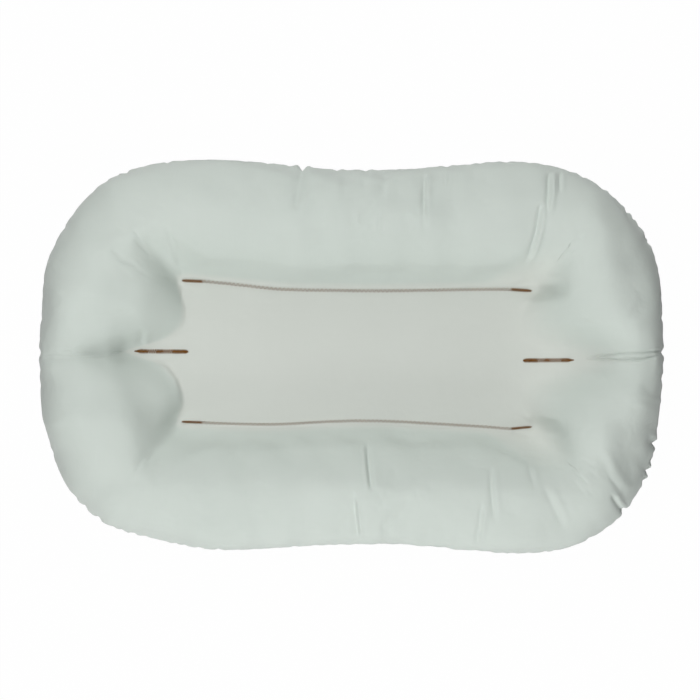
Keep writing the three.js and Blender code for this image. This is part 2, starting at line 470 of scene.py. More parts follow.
@dataclass
class RowPlan:
    """The middle lines of the sewn rows on the sling, in plan, from the head end to the foot end."""

    long: dict[Side, Array]
    short: dict[End, Array]
    head_rise: float = 0.016
    foot_rise: float = 0.019
    rise_start: float = 0.025
    rise_power: float = 1.7

    @classmethod
    def from_threads(cls) -> "RowPlan":
        """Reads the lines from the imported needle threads."""
        long = {}
        for side in Side:
            tacks = [f"{side.value}_row_{end.value}_tack_needle" for end in End]
            long[side] = cls.middle_line([tacks[0], f"{side.value}_row_needle_thread", tacks[1]])
        short = {}
        for end in End:
            low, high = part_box(f"{end.value}_row_needle_thread")
            middle = (low.y + high.y) / 2
            short[end] = np.array([[low.x, middle], [high.x, middle]])
        return cls(long, short)

    @staticmethod
    def middle_line(nodes: list[str]) -> Array:
        """The line midway between a row's two edges, with one point for each short stretch."""
        stretch, slack, fewest = 0.0064, 1e-6, 4
        corners = np.concatenate([RingPlan.node_points(n)[:, :2] for n in nodes])
        low, high = corners[:, 0].min(), corners[:, 0].max()
        edges = np.linspace(low, high, round((high - low) / stretch) + 1)
        places = []
        for a, b in zip(edges[:-1], edges[1:]):
            inside = corners[(corners[:, 0] >= a - slack) & (corners[:, 0] <= b + slack)]
            if len(inside) >= fewest:
                places.append(((a + b) / 2, (inside[:, 1].min() + inside[:, 1].max()) / 2))
        places = np.array(places)
        ends = np.interp([low, high], places[:, 0], places[:, 1])
        return np.vstack([(low, ends[0]), places, (high, ends[1])])

    def long_reach(self) -> Pair:
        """Where the long rows start and end along X."""
        starts = [line[0, 0] for line in self.long.values()]
        ends = [line[-1, 0] for line in self.long.values()]
        return min(starts), max(ends)

    def distance(self, points: Array) -> Array:
        """Distance in plan from each point to the nearest row."""
        lines = [*self.long.values(), *self.short.values()]
        return np.min([distance_to_line(points, line)[0] for line in lines], axis=0)

    def lift(self, points: Array) -> Array:
        """How far the ring draws each point's row up: from 0 in the sling to the short rows' outer ends."""
        low, high = self.long_reach()
        lifted = np.zeros(points.shape[:-1])
        for end, begun, rise in ((End.HEAD, low, self.head_rise), (End.FOOT, high, self.foot_rise)):
            inner = begun - math.copysign(self.rise_start, begun)
            outer = max(self.short[end][:, 0], key=abs)
            share = np.maximum((points[..., 0] - inner) / (outer - inner), 0)
            lifted += rise * share**self.rise_power
        return lifted


@dataclass
class StationPlaces:
    """Places of a cover's stations round the ring: closer together at the photographed folds.

    The places are the same on both sides of the middle line, so that the sling's rows meet there.
    """

    plan: RingPlan
    view: PhotoView
    count: int = 912
    closeness: float = 2.4
    reach: float = 0.010
    samples: int = 6000

    def shares(self) -> Array:
        """Rising shares of the way round the ring."""
        fine = self.plan.resampled(np.arange(self.samples) / self.samples)
        distance, total = fine.perimeter()
        pixels = self.view.project(fine.seam_points())
        density = np.ones(self.samples)
        for x, y in self.folds():
            nearest = np.hypot(pixels[:, 0] - x, pixels[:, 1] - y).argmin()
            gap = abs(distance - distance[nearest])
            gap = np.minimum(gap, total - gap)
            density = np.maximum(density, 1 + self.closeness * np.exp(-((gap / self.reach) ** 2)))
        steps = np.diff(np.append(distance, total))
        weight = density * steps
        weight = (weight + weight[::-1]) / 2
        share = np.concatenate([[0], np.cumsum(weight)]) / weight.sum()
        place = np.arange(self.samples + 1) / self.samples
        return np.interp(np.arange(self.count) / self.count, share, place)

    @staticmethod
    def folds() -> list[Pair]:
        """Pixels from which closer stations are wanted."""
        ends = [crease.points[0] for crease in TOP_CREASES] + [crease.points[-1] for crease in TOP_CREASES]
        return ends + [(x, y) for x, y, _ in SEAM_NOTCHES]


# The stuffed ring's cloth


@dataclass
class StuffedRing:
    """Cloth of the stuffed ring, blown up by a cloth simulation from its cut size.

    Powers shape the rise from the foot to the crown and the fall to the edge seam. Crowns are
    distances from the foot, turns say how far an end's shape reaches round its corners.
    """

    plan: RingPlan
    rows: RowPlan
    columns: int = 408
    top_rows: int = 26
    bottom_rows: int = 22
    set_back: float = 0.005
    side_power: float = 1.3
    head_power: float = 0.88
    foot_power: float = 1.6
    outer_power: float = 1.08
    foot_outer_power: float = 1.5
    side_crown: float = 0.079
    head_crown: float = 0.116
    foot_crown: float = 0.104
    widest_peak: float = 0.68
    head_turn: float = 0.7
    foot_turn: float = 0.3
    floor_power: float = 0.6
    floor_degrees: float = 76
    floor_set_back_share: float = 0.4
    draw_power: float = 1.5
    frames: int = 20
    pressure: float = 5
    ease: float = 0.05
    ease_reach_share: float = 0.36
    ease_bends: Pair = (-1.0, 7.0)
    ease_power: float = 1.3
    least_ease: float = 0.25
    most_moved: float = 0.011
    waver: float = 0.0006
    waver_seed: int = 5
    waver_count: int = 30
    waver_turns: tuple[int, int] = (60, 110)
    open_rest: float = 0.075
    sewn_rest: float = 0.035
    rest_start: float = 0.2
    sewn_hold: float = 0.6
    open_blend: float = 0.055
    floor_softness: float = 0.003
    fine: RingPlan = field(init=False)
    opened: Array = field(init=False)

    def __post_init__(self) -> None:
        """Works out the plan at the simulation's stations."""
        self.fine = self.plan.resampled(np.arange(self.columns) / self.columns)
        self.opened = self.fine.openness(self.rows, self.open_blend)

    def section(self, face: Face) -> Array:
        """Rows of points from the edge seam to the foot of the ring, before the cloth is blown up."""
        plan = self.fine
        rows = self.top_rows if face is Face.TOP else self.bottom_rows
        angle = np.linspace(0, math.pi, rows + 1)[:, None]
        cosine, sine = np.cos(angle), np.clip(np.sin(angle), 0, 1)
        middle = (plan.foot + plan.seam) / 2
        half = np.linalg.norm(plan.seam - plan.foot, axis=1) / 2
        outer_share = (1 + cosine) / 2
        drawn = (half - self.set_back * outer_share) * cosine
        place = middle + plan.outwards() * drawn[..., None]
        if face is Face.TOP:
            base = plan.sling_height * (1 - outer_share) + plan.seam_height * outer_share
            crown = plan.crown - (plan.sling_height + plan.seam_height) / 2 - self.set_back
            height = base + crown * self.fullness(outer_share)
        else:
            base = plan.underside * (1 - outer_share) + plan.seam_height * outer_share
            drop = np.minimum(1, (sine / math.sin(math.radians(self.floor_degrees))) ** self.floor_power)
            height = base * (1 - drop) + self.set_back * self.floor_set_back_share * drop
        return np.concatenate([place, np.broadcast_to(height[..., None], place.shape[:2] + (1,))], axis=2)

    def fullness(self, outer_share: Array) -> Array:
        """The top's height as a share of the crown's.

        Args:
            outer_share: Places across the ring, 0 at its foot and 1 at the edge seam.

        Returns:
            One share for each place and station: the crown lies farther out at the ends.
        """
        width = np.linalg.norm(self.fine.seam - self.fine.foot, axis=1)
        at_foot = self.fine.foot[:, 0] > 0
        turn_start = np.where(at_foot, self.foot_turn, self.head_turn)
        turned = smooth_step(turn_start, 1, abs(self.fine.outwards()[:, 0]))
        end_power = np.where(at_foot, self.foot_power, self.head_power)
        end_crown = np.where(at_foot, self.foot_crown, self.head_crown)
        power = self.side_power + (end_power - self.side_power) * turned
        crown_place = self.side_crown + (end_crown - self.side_crown) * turned
        peak = np.minimum(crown_place / width, self.widest_peak)
        rising = np.sin(math.pi / 2 * np.minimum(outer_share / peak, 1)) ** power
        outside = (1 - outer_share) / (1 - peak)
        outer_power = self.outer_power + (self.foot_outer_power - self.outer_power) * turned * at_foot
        falling = np.clip(outside * (2 - outside), 0, 1) ** (outer_power / 2)
        return np.where(outer_share < peak, rising, falling)

    def simulated(self) -> tuple[Array, Array]:
        """The top and bottom rows after the simulation.

        Returns:
            Grids of points of the top and the bottom cloth, rows from the edge seam to the foot.
        """
        top, bottom = self.section(Face.TOP), self.section(Face.BOTTOM)
        loop = np.concatenate([top, bottom[:0:-1]])
        rows, count = loop.shape[:2]
        points = loop.reshape(-1, 3)
        seeded = points.copy()
        seeded[:, 2] += self.seam_waver(loop).ravel()
        mesh = bpy.data.meshes.new("ring_cloth")
        mesh.from_pydata(seeded.tolist(), [], closed_quads(rows, count))
        blown = linked("ring_cloth", mesh)
        self.weigh(blown, rows, count)
        moved = self.blow_up(blown)
        offset = moved - points
        size = np.linalg.norm(offset, axis=1, keepdims=True)
        offset *= self.most_moved * np.tanh(size / self.most_moved) / np.maximum(size, NEARLY_ZERO)
        offset = offset.reshape(rows, count, 3)
        offset *= self.freedom(loop)[..., None]
        offset[..., :2] *= self.freedom(loop)[..., None]
        return self.halves(loop + offset)

    def halves(self, loop: Array) -> tuple[Array, Array]:
        """The top and bottom rows of the whole section, drawn out to the plan's edge seam."""
        loop = self.drawn_out(loop)
        bottom = np.concatenate([loop[:1], loop[: self.top_rows : -1]])
        return loop[: self.top_rows + 1], self.settled(bottom)

    def drawn_out(self, loop: Array) -> Array:
        """The section stretched outwards and up or down, so that its seam lies on the plan's."""
        reach = np.linalg.norm(self.fine.seam - self.fine.foot, axis=1)
        along = ((loop[..., :2] - self.fine.foot) * self.fine.outwards()).sum(axis=2)
        share = np.clip(along / reach, 0, 1) ** self.draw_power
        return loop + (self.fine.seam_points() - loop[0]) * share[..., None]

    def seam_waver(self, loop: Array) -> Array:
        """Small seeded waves beside the edge seam, from which its folds grow."""
        distance, total = self.fine.perimeter()
        rng = np.random.default_rng(self.waver_seed)
        waves = np.zeros(self.columns)
        for _ in range(self.waver_count):
            turns = rng.integers(*self.waver_turns)
            waves += np.sin(distance / total * math.tau * turns + rng.uniform(0, math.tau))
        waves /= math.sqrt(self.waver_count / 2)
        rows = np.arange(len(loop))[:, None]
        reach = self.ease_reach_share * self.top_rows
        top_fade = np.clip(1 - rows / reach, 0, 1)
        bottom_fade = np.clip(1 - (len(loop) - rows) / reach, 0, 1)
        return self.waver * waves * (top_fade - bottom_fade) * (rows > 0)

    def freedom(self, loop: Array) -> Array:
        """How much of the simulated movement each point keeps: little beside an end fold."""
        rest = self.sewn_rest + (self.open_rest - self.sewn_rest) * self.opened
        near = smooth_step(self.rest_start, 1, self.fine.from_foot(loop) / rest)
        return 1 - (1 - near) * (self.sewn_hold + (1 - self.sewn_hold) * self.opened)

    def weigh(self, blown: Piece, rows: int, count: int) -> None:
        """Adds the vertex groups that hold the foot, carry the pressure and ease the cloth."""
        pin = np.zeros((rows, count))
        foot_row = self.top_rows
        pin[foot_row : foot_row + 2] = 1
        fullness = smooth_step(*self.ease_bends, self.fine.bend())
        full = self.least_ease + (1 - self.least_ease) * fullness
        ease = np.zeros((rows, count))
        reach = self.ease_reach_share * self.top_rows
        for row in range(rows):
            away = min(row, rows - row)
            ease[row] = max(0, 1 - away / reach) ** self.ease_power * full
        pressure = np.ones((rows, count))
        pressure[foot_row : foot_row + 2] = 0
        for name, weights in (("pin", pin), ("pressure", pressure), ("ease", ease)):
            group = blown.vertex_groups.new(name=name)
            rounded = weights.ravel().round(2)
            for level in np.unique(rounded):
                group.add(np.flatnonzero(rounded == level).tolist(), float(level), "REPLACE")

    def blow_up(self, blown: Piece) -> Array:
        """Runs the cloth simulation, removes its object and returns its points."""
        modifier = blown.modifiers.new("cloth", "CLOTH")
        cloth = modifier.settings
        for key, value in CLOTH_SETTINGS.items():
            setattr(cloth, key, value)
        cloth.uniform_pressure_force = self.pressure
        cloth.shrink_max = -self.ease
        cloth.effector_weights.gravity = 0
        modifier.collision_settings.use_collision = False
        modifier.collision_settings.use_self_collision = False
        modifier.point_cache.frame_start = 1
        modifier.point_cache.frame_end = self.frames
        scene = bpy.context.scene
        for number in range(1, self.frames + 1):
            scene.frame_set(number)
        graph = bpy.context.evaluated_depsgraph_get()
        result = blown.evaluated_get(graph).data
        points = np.zeros(len(result.vertices) * 3)
        result.vertices.foreach_get("co", points)
        scene.frame_set(1)
        mesh = blown.data
        bpy.data.objects.remove(blown)
        bpy.data.meshes.remove(mesh)
        return points.reshape(-1, 3)

    def settled(self, bottom: Array) -> Array:
        """The bottom cloth resting on the floor, with a soft start of the contact."""
        soft = self.floor_softness
        height = bottom[..., 2] - soft / 2
        bottom = bottom.copy()
        bottom[..., 2] = (height + np.sqrt(height**2 + soft**2)) / 2
        return bottom


# Folds and creases


@dataclass(frozen=True)
class Crease:
    """A fold line on the top, as seen in the photograph.

    The points are pixels. Depth and width are metres. A ridge stands beside the line, on one
    side if its share of the depth is over 0 and on the other if under 0. Its place and width
    are counted in the crease's widths.
    """

    points: tuple[Pair, ...]
    depth: float
    width: float
    ridge_share: float = 0.4
    fade_in: float = 0.15
    fade_out: float = 0.4
    valley_power: float = 1.4
    ridge_place: float = 1.7
    ridge_width: float = 0.9

    def offset(self, pixels: Array, scale: float) -> Array:
        """How far the cloth moves out at each grid point, in metres.

        Args:
            pixels: The grid points in the photograph's pixels.
            scale: Metres for each pixel.

        Returns:
            Offsets along the outward normal, under 0 in the crease.
        """
        gap, side, place = distance_to_line(pixels, np.array(self.points))
        gap = gap * scale / self.width
        strength = smooth_step(0, self.fade_in, place) * (1 - smooth_step(1 - self.fade_out, 1, place))
        valley = -np.exp(-(gap**self.valley_power))
        beside = side * gap * math.copysign(1, self.ridge_share)
        ridge = abs(self.ridge_share) * np.exp(-(((beside - self.ridge_place) / self.ridge_width) ** 2))
        return self.depth * strength * (valley + ridge)


@dataclass(frozen=True)
class Swell:
    """A broad hollow or hill on the top, as an ellipse in the photograph's pixels."""

    centre: Pair
    reach: Pair
    degrees: float
    rise: float

    def offset(self, pixels: Array) -> Array:
        """How far the cloth moves out at each grid point, in metres."""
        turn = math.radians(self.degrees)
        delta = pixels - np.array(self.centre)
        along = delta[..., 0] * math.cos(turn) + delta[..., 1] * math.sin(turn)
        across = delta[..., 1] * math.cos(turn) - delta[..., 0] * math.sin(turn)
        return self.rise * np.exp(-((along / self.reach[0]) ** 2 + (across / self.reach[1]) ** 2))


@dataclass(frozen=True)
class Gathers:
    """Small folds that run from the edge seam into a panel, where its cut edge is eased in.

    Ranges are drawn at random: gaps in spacings, sizes, and reaches as shares. Each fold's
    ridges stand a few widths beside it.
    """

    seed: int = 11
    spacing: float = 0.018
    gaps: Pair = (0.45, 1.6)
    sizes: Pair = (0.25, 1.0)
    size_power: float = 1.3
    depth: float = 0.0034
    bends: Pair = (-2.0, 8.0)
    least_depth: float = 0.3
    reach: float = 0.046
    reaches: Pair = (0.45, 1.15)
    least_reach: float = 0.5
    notch_reach: float = 0.8
    mouth: float = 0.0028
    spread: float = 0.15
    lean: float = 0.35
    fade_power: float = 1.4
    fold_power: float = 1.35
    ridge_share: float = 0.42
    ridge_place: float = 1.8
    notches: tuple[Triple, ...] = ()

    def places(self, plan: RingPlan, view: PhotoView, face: Face) -> list[tuple[float, float, float, float]]:
        """Seeded folds along the edge seam.

        Args:
            plan: The ring's plan at the cover's stations.
            view: The photograph's view, in which the notches are given.
            face: The panel; both panels share the places but not the lengths.

        Returns:
            Place along the seam, depth, reach and lean of each fold.
        """
        distance, total = plan.perimeter()
        bend = plan.bend()
        shared = np.random.default_rng(self.seed)
        own = np.random.default_rng(self.seed + (1 if face is Face.TOP else 2))
        folds = []
        place = 0.0
        while place < total:
            place += self.spacing * shared.uniform(*self.gaps)
            size = shared.uniform(*self.sizes) ** self.size_power
            turn = np.interp(place, distance, bend, period=total)
            full = float(smooth_step(*self.bends, turn))
            depth = self.depth * size * (self.least_depth + (1 - self.least_depth) * full)
            longer = self.least_reach + (1 - self.least_reach) * size
            reach = self.reach * own.uniform(*self.reaches) * longer
            folds.append((place, depth, reach, own.uniform(-self.lean, self.lean)))
        pixels = view.project(plan.seam_points())
        for x, y, depth in self.notches:
            nearest = np.hypot(pixels[:, 0] - x, pixels[:, 1] - y).argmin()
            folds.append((float(distance[nearest]), depth, self.reach * self.notch_reach, 0.0))
        return folds

    def offset(self, plan: RingPlan, view: PhotoView, face: Face, away: Array) -> Array:
        """How far each grid point moves out, in metres.

        Args:
            plan: The ring's plan at the grid's stations.
            view: The photograph's view.
            face: The panel.
            away: Distance of each grid point from the edge seam.

        Returns:
            Offsets along the outward normal, under 0 in the folds.
        """
        distance, total = plan.perimeter()
        result = np.zeros(away.shape)
        for place, depth, reach, lean in self.places(plan, view, face):
            along = (distance - place + total / 2) % total - total / 2
            near = abs(along) < self.mouth * 4 + reach * (self.spread + self.lean) * 2
            gap = along[near] - lean * away[:, near]
            aside = abs(gap) / (self.mouth + self.spread * away[:, near])
            fade = np.clip(1 - away[:, near] / reach, 0, 1) ** self.fade_power
            ridge = self.ridge_share * np.exp(-((aside - self.ridge_place) ** 2))
            result[:, near] += depth * fade * (ridge - np.exp(-(aside**self.fold_power)))
        return result


TOP_CREASES = (
    Crease(((302, 168), (299, 190), (293.5, 214)), 0.0036, 0.0058, 0.4, 0.1, 0.4),
    Crease(((424, 171), (424, 205), (424.5, 237)), 0.0032, 0.0032, 0.4),
    Crease(((446, 171), (446, 190)), 0.0020, 0.0026, 0.3),
    Crease(((549, 171), (548.5, 192), (546.5, 218)), 0.0036, 0.0034, 0.6, 0.15, 0.35),
    Crease(((541, 202), (536.5, 232), (530, 253), (522, 267)), 0.0032, 0.0034, 0.6, 0.12, 0.4),
    Crease(((560, 172), (560, 194)), 0.0020, 0.0024, 0.3),
    Crease(((379.6, 208), (379.6, 241)), 0.0013, 0.0024, 0.3, 0.4, 0.4),
    Crease(((166, 226), (175, 248), (181.5, 268)), 0.0022, 0.0034, -0.4, 0.3, 0.2),
    Crease(((136, 351), (100, 354), (66, 354.5), (42, 354)), 0.0016, 0.0022, 0.3, 0.4, 0.1),
    Crease(((132, 353), (100, 356), (60, 358.5), (42, 358)), 0.0014, 0.0022, -0.3, 0.5, 0.1),
    Crease(
        ((584, 358.3), (607, 355), (622, 353.3), (642, 352.5), (662, 351)),
        0.0026,
        0.0016,
        0.3,
        0.2,
        0.05,
    ),
    Crease(((584, 358.3), (607, 359), (622, 360), (640, 360), (661, 355)), 0.0026, 0.0016, -0.3, 0.2, 0.1),
    Crease(((620, 357.8), (648, 358.2)), 0.0022, 0.0012, 0.1, 0.3, 0.3),
    Crease(((367, 440), (369, 465), (372, 494)), 0.0030, 0.0030, -0.5, 0.3, 0.3),
    Crease(((353, 492), (355, 515), (358, 540)), 0.0030, 0.0030, 0.5, 0.3, 0.2),
    Crease(((491, 462), (491, 485), (495, 524)), 0.0030, 0.0032, 0.5, 0.3, 0.3),
    Crease(((482, 500), (480, 525), (476, 548)), 0.0026, 0.0030, 0.5, 0.3, 0.2),
    Crease(((542, 483), (553, 506), (565, 532)), 0.0018, 0.0050, 0.4, 0.3, 0.3),
    Crease(((528, 461), (534, 489)), 0.0013, 0.0036, 0.4, 0.4, 0.4),
    Crease(((596, 450), (610, 476), (630, 502)), 0.0022, 0.0060, 0.4, 0.3, 0.3),
    Crease(((612, 494), (618, 505), (624, 512)), 0.0030, 0.0030, 0.5, 0.3, 0.1),
    Crease(((181.5, 268), (182.5, 288), (182, 308)), 0.0014, 0.0030, 0.3, 0.1, 0.3),
    Crease(((150, 357), (168, 364), (179, 378), (183, 392), (186, 408)), 0.0013, 0.0036, -0.9, 0.3, 0.2),
    Crease(((143, 328), (141, 346)), 0.0030, 0.0034, 0.5, 0.3, 0.2),
    Crease(((520, 362), (520, 385)), 0.0007, 0.0030, 0.3, 0.4, 0.4),
    Crease(((505, 366), (505, 400)), 0.0007, 0.0034, 0.3, 0.4, 0.4),
)

TOP_SWELLS = (
    Swell((160, 414), (18, 20), 20, -0.0050),
    Swell((128, 338), (12, 12), 0, -0.0010),
    Swell((630, 452), (22, 34), -15, -0.0060),
)

SEAM_NOTCHES = (
    (302, 168, 0.0050),
    (337, 166, 0.0022),
    (366, 167, 0.0022),
    (447, 169, 0.0022),
    (659, 379, 0.0040),
    (656, 444, 0.0046),
    (645, 470, 0.0042),
    (623, 509, 0.0052),
    (41, 352, 0.0036),
    (662, 352, 0.0036),
    (108, 505, 0.0030),
    (600, 190, 0.0026),
    (640, 240, 0.0026),
)


# Covers


@dataclass(frozen=True)
class Softening:
    """How the cloth is evened at one end, in metres from the ring's foot.

    Full up to one distance, none from another, averaged over a soft patch, which has another
    size away from the short row. That row holds the cloth beside it as far as its hold, and
    past its ends as far as its fade. The change starts a blend before the long rows end.
    """

    side: int
    full: float
    none: float
    patch: float
    corner_patch: float
    hold: float
    fade: float
    blend: float


@dataclass(frozen=True)
class HeightField:
    """A cover's heights over its plan, on a plain grid of cells."""

    origin: Array
    cell: float
    volumes: Array
    areas: Array

    @classmethod
    def from_grid(cls, grid: Array, cell: float = 0.0015) -> "HeightField":
        """Collects each point's height, weighted with the area in plan that the point stands for."""
        plan = grid[..., :2]
        down = np.gradient(plan, axis=0)
        along = (np.roll(plan, -1, 1) - np.roll(plan, 1, 1)) / 2
        area = abs(down[..., 0] * along[..., 1] - down[..., 1] * along[..., 0])
        origin = plan.min(axis=(0, 1)) - cell
        index = ((plan - origin) / cell).astype(int)
        shape = tuple(index.max(axis=(0, 1)) + 2)
        flat = index[..., 0].ravel() * shape[1] + index[..., 1].ravel()
        cells = shape[0] * shape[1]
        areas = np.bincount(flat, area.ravel(), cells).reshape(shape)
        volumes = np.bincount(flat, (area * grid[..., 2]).ravel(), cells).reshape(shape)
        return cls(origin, cell, volumes, areas)

    def evened(self, points: Array, patch: float) -> Array:
        """Heights at points, each averaged over a soft round patch.

        Args:
            points: Any array of points whose last axis starts with X and Y.
            patch: The patch's standard deviation in metres.

        Returns:
            One height for each point.
        """
        places = [np.arange(count) * self.cell / patch for count in self.areas.shape]
        gaps = [abs(place[:, None] - place) for place in places]
        widest = 4
        kernels = [np.where(gap < widest, np.exp(-0.5 * np.minimum(gap, widest) ** 2), 0) for gap in gaps]
        least = self.cell**2
        area = kernels[0] @ self.areas @ kernels[1]
        height = kernels[0] @ self.volumes @ kernels[1] / np.maximum(area, least)
        place = (points[..., :2] - self.origin) / self.cell - 0.5
        start = np.clip(np.floor(place), 0, np.array(height.shape) - 2).astype(int)
        part = np.clip(place - start, 0, 1)
        x, y = start[..., 0], start[..., 1]
        low = height[x, y] * (1 - part[..., 1]) + height[x, y + 1] * part[..., 1]
        high = height[x + 1, y] * (1 - part[..., 1]) + height[x + 1, y + 1] * part[..., 1]
        return low * (1 - part[..., 0]) + high * part[..., 0]


@dataclass
class Cover:
    """One cotton cover panel: half the ring's cloth and one layer of the sling."""

    face: Face
    plan: RingPlan
    rows: RowPlan
    cloth_rows: Array
    shares: Array
    view: PhotoView
    first_step: float = 0.0008
    widest_step: float = 0.0042
    step_ratio: float = 1.32
    thickness: float = 0.0005
    seam_roll: float = 0.0016
    seam_roll_reach: float = 0.0022
    top_lumps: float = 0.0017
    bottom_lumps: float = 0.0010
    lump_length: float = 0.11
    short_lump_share: float = 0.4
    lump_seed: int = 3
    lump_count: int = 26
    lump_fade: float = 0.03
    gather_start: float = 0.008
    floor_gap: float = 0.0002
    hem_folds: tuple[Pair, ...] = ((0.0014, 0.7), (0.0007, 0.3))
    lip_gap: float = 0.0001
    sling_shares: tuple[float, ...] = (0.012, 0.03, 0.055, 0.09, 0.14, 0.21, 0.3, 0.42, 0.56, 0.72, 0.86, 1)
    spine_share: float = 0.51
    sag: float = 0.0010
    sag_share: float = 0.8
    sling_waves: float = 0.0004
    wave_seed: int = 8
    wave_count: int = 14
    wave_lengths: Pair = (0.09, 0.03)
    wave_share: float = 0.3
    head_soften: Softening = Softening(
        -1, full=0.022, none=0.075, patch=0.009, corner_patch=0.005, hold=0.022, fade=0.030, blend=0.020
    )
    foot_soften: Softening = Softening(
        1, full=0.045, none=0.110, patch=0.019, corner_patch=0.009, hold=0.045, fade=0.075, blend=0.040
    )
    under_fade: float = 0.022
    corner_fades: Pair = (0.010, 0.042)
    corner_run: float = 0.035
    row_hold: float = 0.0052
    head_corner: float = 0.002
    foot_corner: float = 0.009
    # How far the sling's painted light reaches up the ring's foot, and how far up the foot end's slope.
    painted_light_reach: float = 0.008
    foot_painted_light_reach: float = 0.060
    sling_soften_share: float = 0.6
    stitch_hold: Pair = (0.0022, 0.0110)
    gathers: Gathers = Gathers()
    fine: RingPlan = field(init=False)
    grid: Array = field(init=False)
    ring: Array = field(init=False)
    away: Array = field(init=False)

    def __post_init__(self) -> None:
        """Refines the simulated rows, adds the sling and all the folds."""
        if self.face is Face.BOTTOM:
            self.head_soften = replace(self.head_soften, fade=self.under_fade)
            self.foot_soften = replace(self.head_soften, side=1)
        self.fine = self.plan.resampled(self.shares)
        ring, self.away = self.refined()
        ring = self.gathered(ring)
        grid = self.softened(np.concatenate([ring, self.sling(ring[-1])]), len(ring))
        if self.face is Face.TOP:
            grid = self.creased(grid)
        grid[-1] = (grid[-1] + np.roll(grid[-1, ::-1], 1, axis=0)) / 2
        self.grid = grid
        self.ring = grid[: len(ring)]

    def refined(self) -> tuple[Array, Array]:
        """The simulated cloth on a finer grid, with closer rows at the seam and at the foot.

        Returns:
            The grid of points and each point's distance from the edge seam along the cloth.
        """
        rows = len(self.cloth_rows) - 1
        lengths = np.linalg.norm(np.diff(self.cloth_rows, axis=0), axis=2).sum(0)
        total = float(np.median(lengths))
        steps = graded_distances(total, self.first_step, self.widest_step, self.step_ratio)
        places = self.shares * self.cloth_rows.shape[1]
        wide = catmull_rom(self.cloth_rows.swapaxes(0, 1), places, True).swapaxes(0, 1)
        arc = arc_lengths(wide)
        shares = steps / total
        fine = np.zeros((len(steps), len(self.shares), 3))
        for k in range(len(self.shares)):
            at = np.interp(shares * arc[-1, k], arc[:, k], np.arange(rows + 1))
            fine[:, k] = catmull_rom(wide[:, k], at, False)
        return fine, shares[:, None] * arc[-1]

    def freed(self, points: Array) -> Array:
        """0 where the cloth is held by a sewn row, 1 away from it."""
        return smooth_step(*self.stitch_hold, self.rows.distance(points[..., :2]))

    def gathered(self, ring: Array) -> Array:
        """The ring with its seam roll, gathers and uneven filling."""
        away = self.away
        outwards = np.concatenate([self.fine.outwards(), np.zeros((len(self.shares), 1))], axis=1)
        turned = smooth_step(0, self.gather_start, away)[..., None]
        normals = grid_normals(ring, self.face) * turned + outwards * (1 - turned)
        size = self.top_lumps if self.face is Face.TOP else self.bottom_lumps
        shortest = self.lump_length * self.short_lump_share
        lumps = seeded_waves(ring, self.lump_seed, self.lump_count, self.lump_length, shortest) * size
        fade = smooth_step(0, self.lump_fade, away) * smooth_step(0, self.lump_fade, away[-1] - away)
        offset = lumps * fade + self.gathers.offset(self.fine, self.view, self.face, away)
        moved = ring + normals * (offset * self.freed(ring))[..., None]
        roll = self.seam_roll * np.exp(-((away / self.seam_roll_reach) ** 2))
        moved -= outwards * roll[..., None]
        if self.face is Face.BOTTOM:
            moved[..., 2] = np.maximum(moved[..., 2], self.floor_gap)
        return moved

    def softened(self, grid: Array, ring_rows: int) -> Array:
        """The cloth where the unsewn sling runs into the end lobes, evened like a stretched skin.

        Args:
            grid: The ring's rows, then the sling's.
            ring_rows: How many rows are the ring's.

        Returns:
            The grid with other heights beside the open stretches of the ring's foot.
        """
        to_foot = self.fine.from_foot(grid)
        to_foot[ring_rows:] /= self.sling_soften_share
        heights = HeightField.from_grid(grid)
        soft = grid[..., 2].copy()
        level = self.fine.level(self.face)
        holds = [(line, self.corner_reach(grid), self.corner_fades) for line in self.rows.long.values()]
        for name, end in ((End.HEAD, self.head_soften), (End.FOOT, self.foot_soften)):
            line = self.rows.short[name]
            far = smooth_step(end.hold, 2 * end.hold, distance_to_line(grid[..., :2], line)[0])
            evened = heights.evened(grid, end.patch)
            evened += far * (heights.evened(grid, end.corner_patch) - evened)
            weight = 1 - smooth_step(end.full, end.none, to_foot)
            weight *= self.fine.openness(self.rows, end.blend) * (self.fine.foot[:, 0] * end.side > 0)
            soft += weight * (evened - soft)
            holds.append((line, end.hold, (end.fade, end.fade)))
        for line, reach, fades in holds:
            soft += self.held(grid, line, reach, fades) * (level + self.rows.lift(grid) - soft)
        result = grid.copy()
        result[..., 2] = soft
        return result

    def corner_reach(self, points: Array) -> Array:
        """How far a long row holds the cloth beside it: farther at its ends, for dished corners."""
        low, high = self.rows.long_reach()
        x = points[..., 0]
        near_head = 1 - smooth_step(low, low + self.corner_run, x)
        near_foot = smooth_step(high - self.corner_run, high, x)
        return self.row_hold + self.head_corner * near_head + self.foot_corner * near_foot

    def held(
        self, points: Array, line: Array, reach: float | Array, fades: Pair
    ) -> Array:
        """How much of the cloth's height a row sets: 1 on the row, 0 from its reach and past its ends.

        Args:
            points: The cloth's points.
            line: The row's middle line.
            reach: How far the row holds the cloth beside it.
            fades: How far it holds the cloth past its head and foot ends.

        Returns:
            One share for each point.
        """
        longer = np.vstack([line[0], line, line[-1]])
        longer[0, 0] -= fades[0]
        longer[-1, 0] += fades[1]
        gap = distance_to_line(points[..., :2], longer)[0]
        x = points[..., 0]
        past = smooth_step(0, fades[0], line[0, 0] - x) + smooth_step(0, fades[1], x - line[-1, 0])
        return (1 - smooth_step(self.stitch_hold[0], reach, gap)) * (1 - past)

    def creased(self, grid: Array) -> Array:
        """The grid with the creases and swells that the photograph shows on the top."""
        pixels = self.view.project(grid)
        scale = self.view.metres_per_pixel()
        offset = np.zeros(grid.shape[:-1])
        for crease in TOP_CREASES:
            offset += crease.offset(pixels, scale)
        for swell in TOP_SWELLS:
            offset += swell.offset(pixels)
        offset *= self.freed(grid)
        return grid + grid_normals(grid, self.face) * offset[..., None]

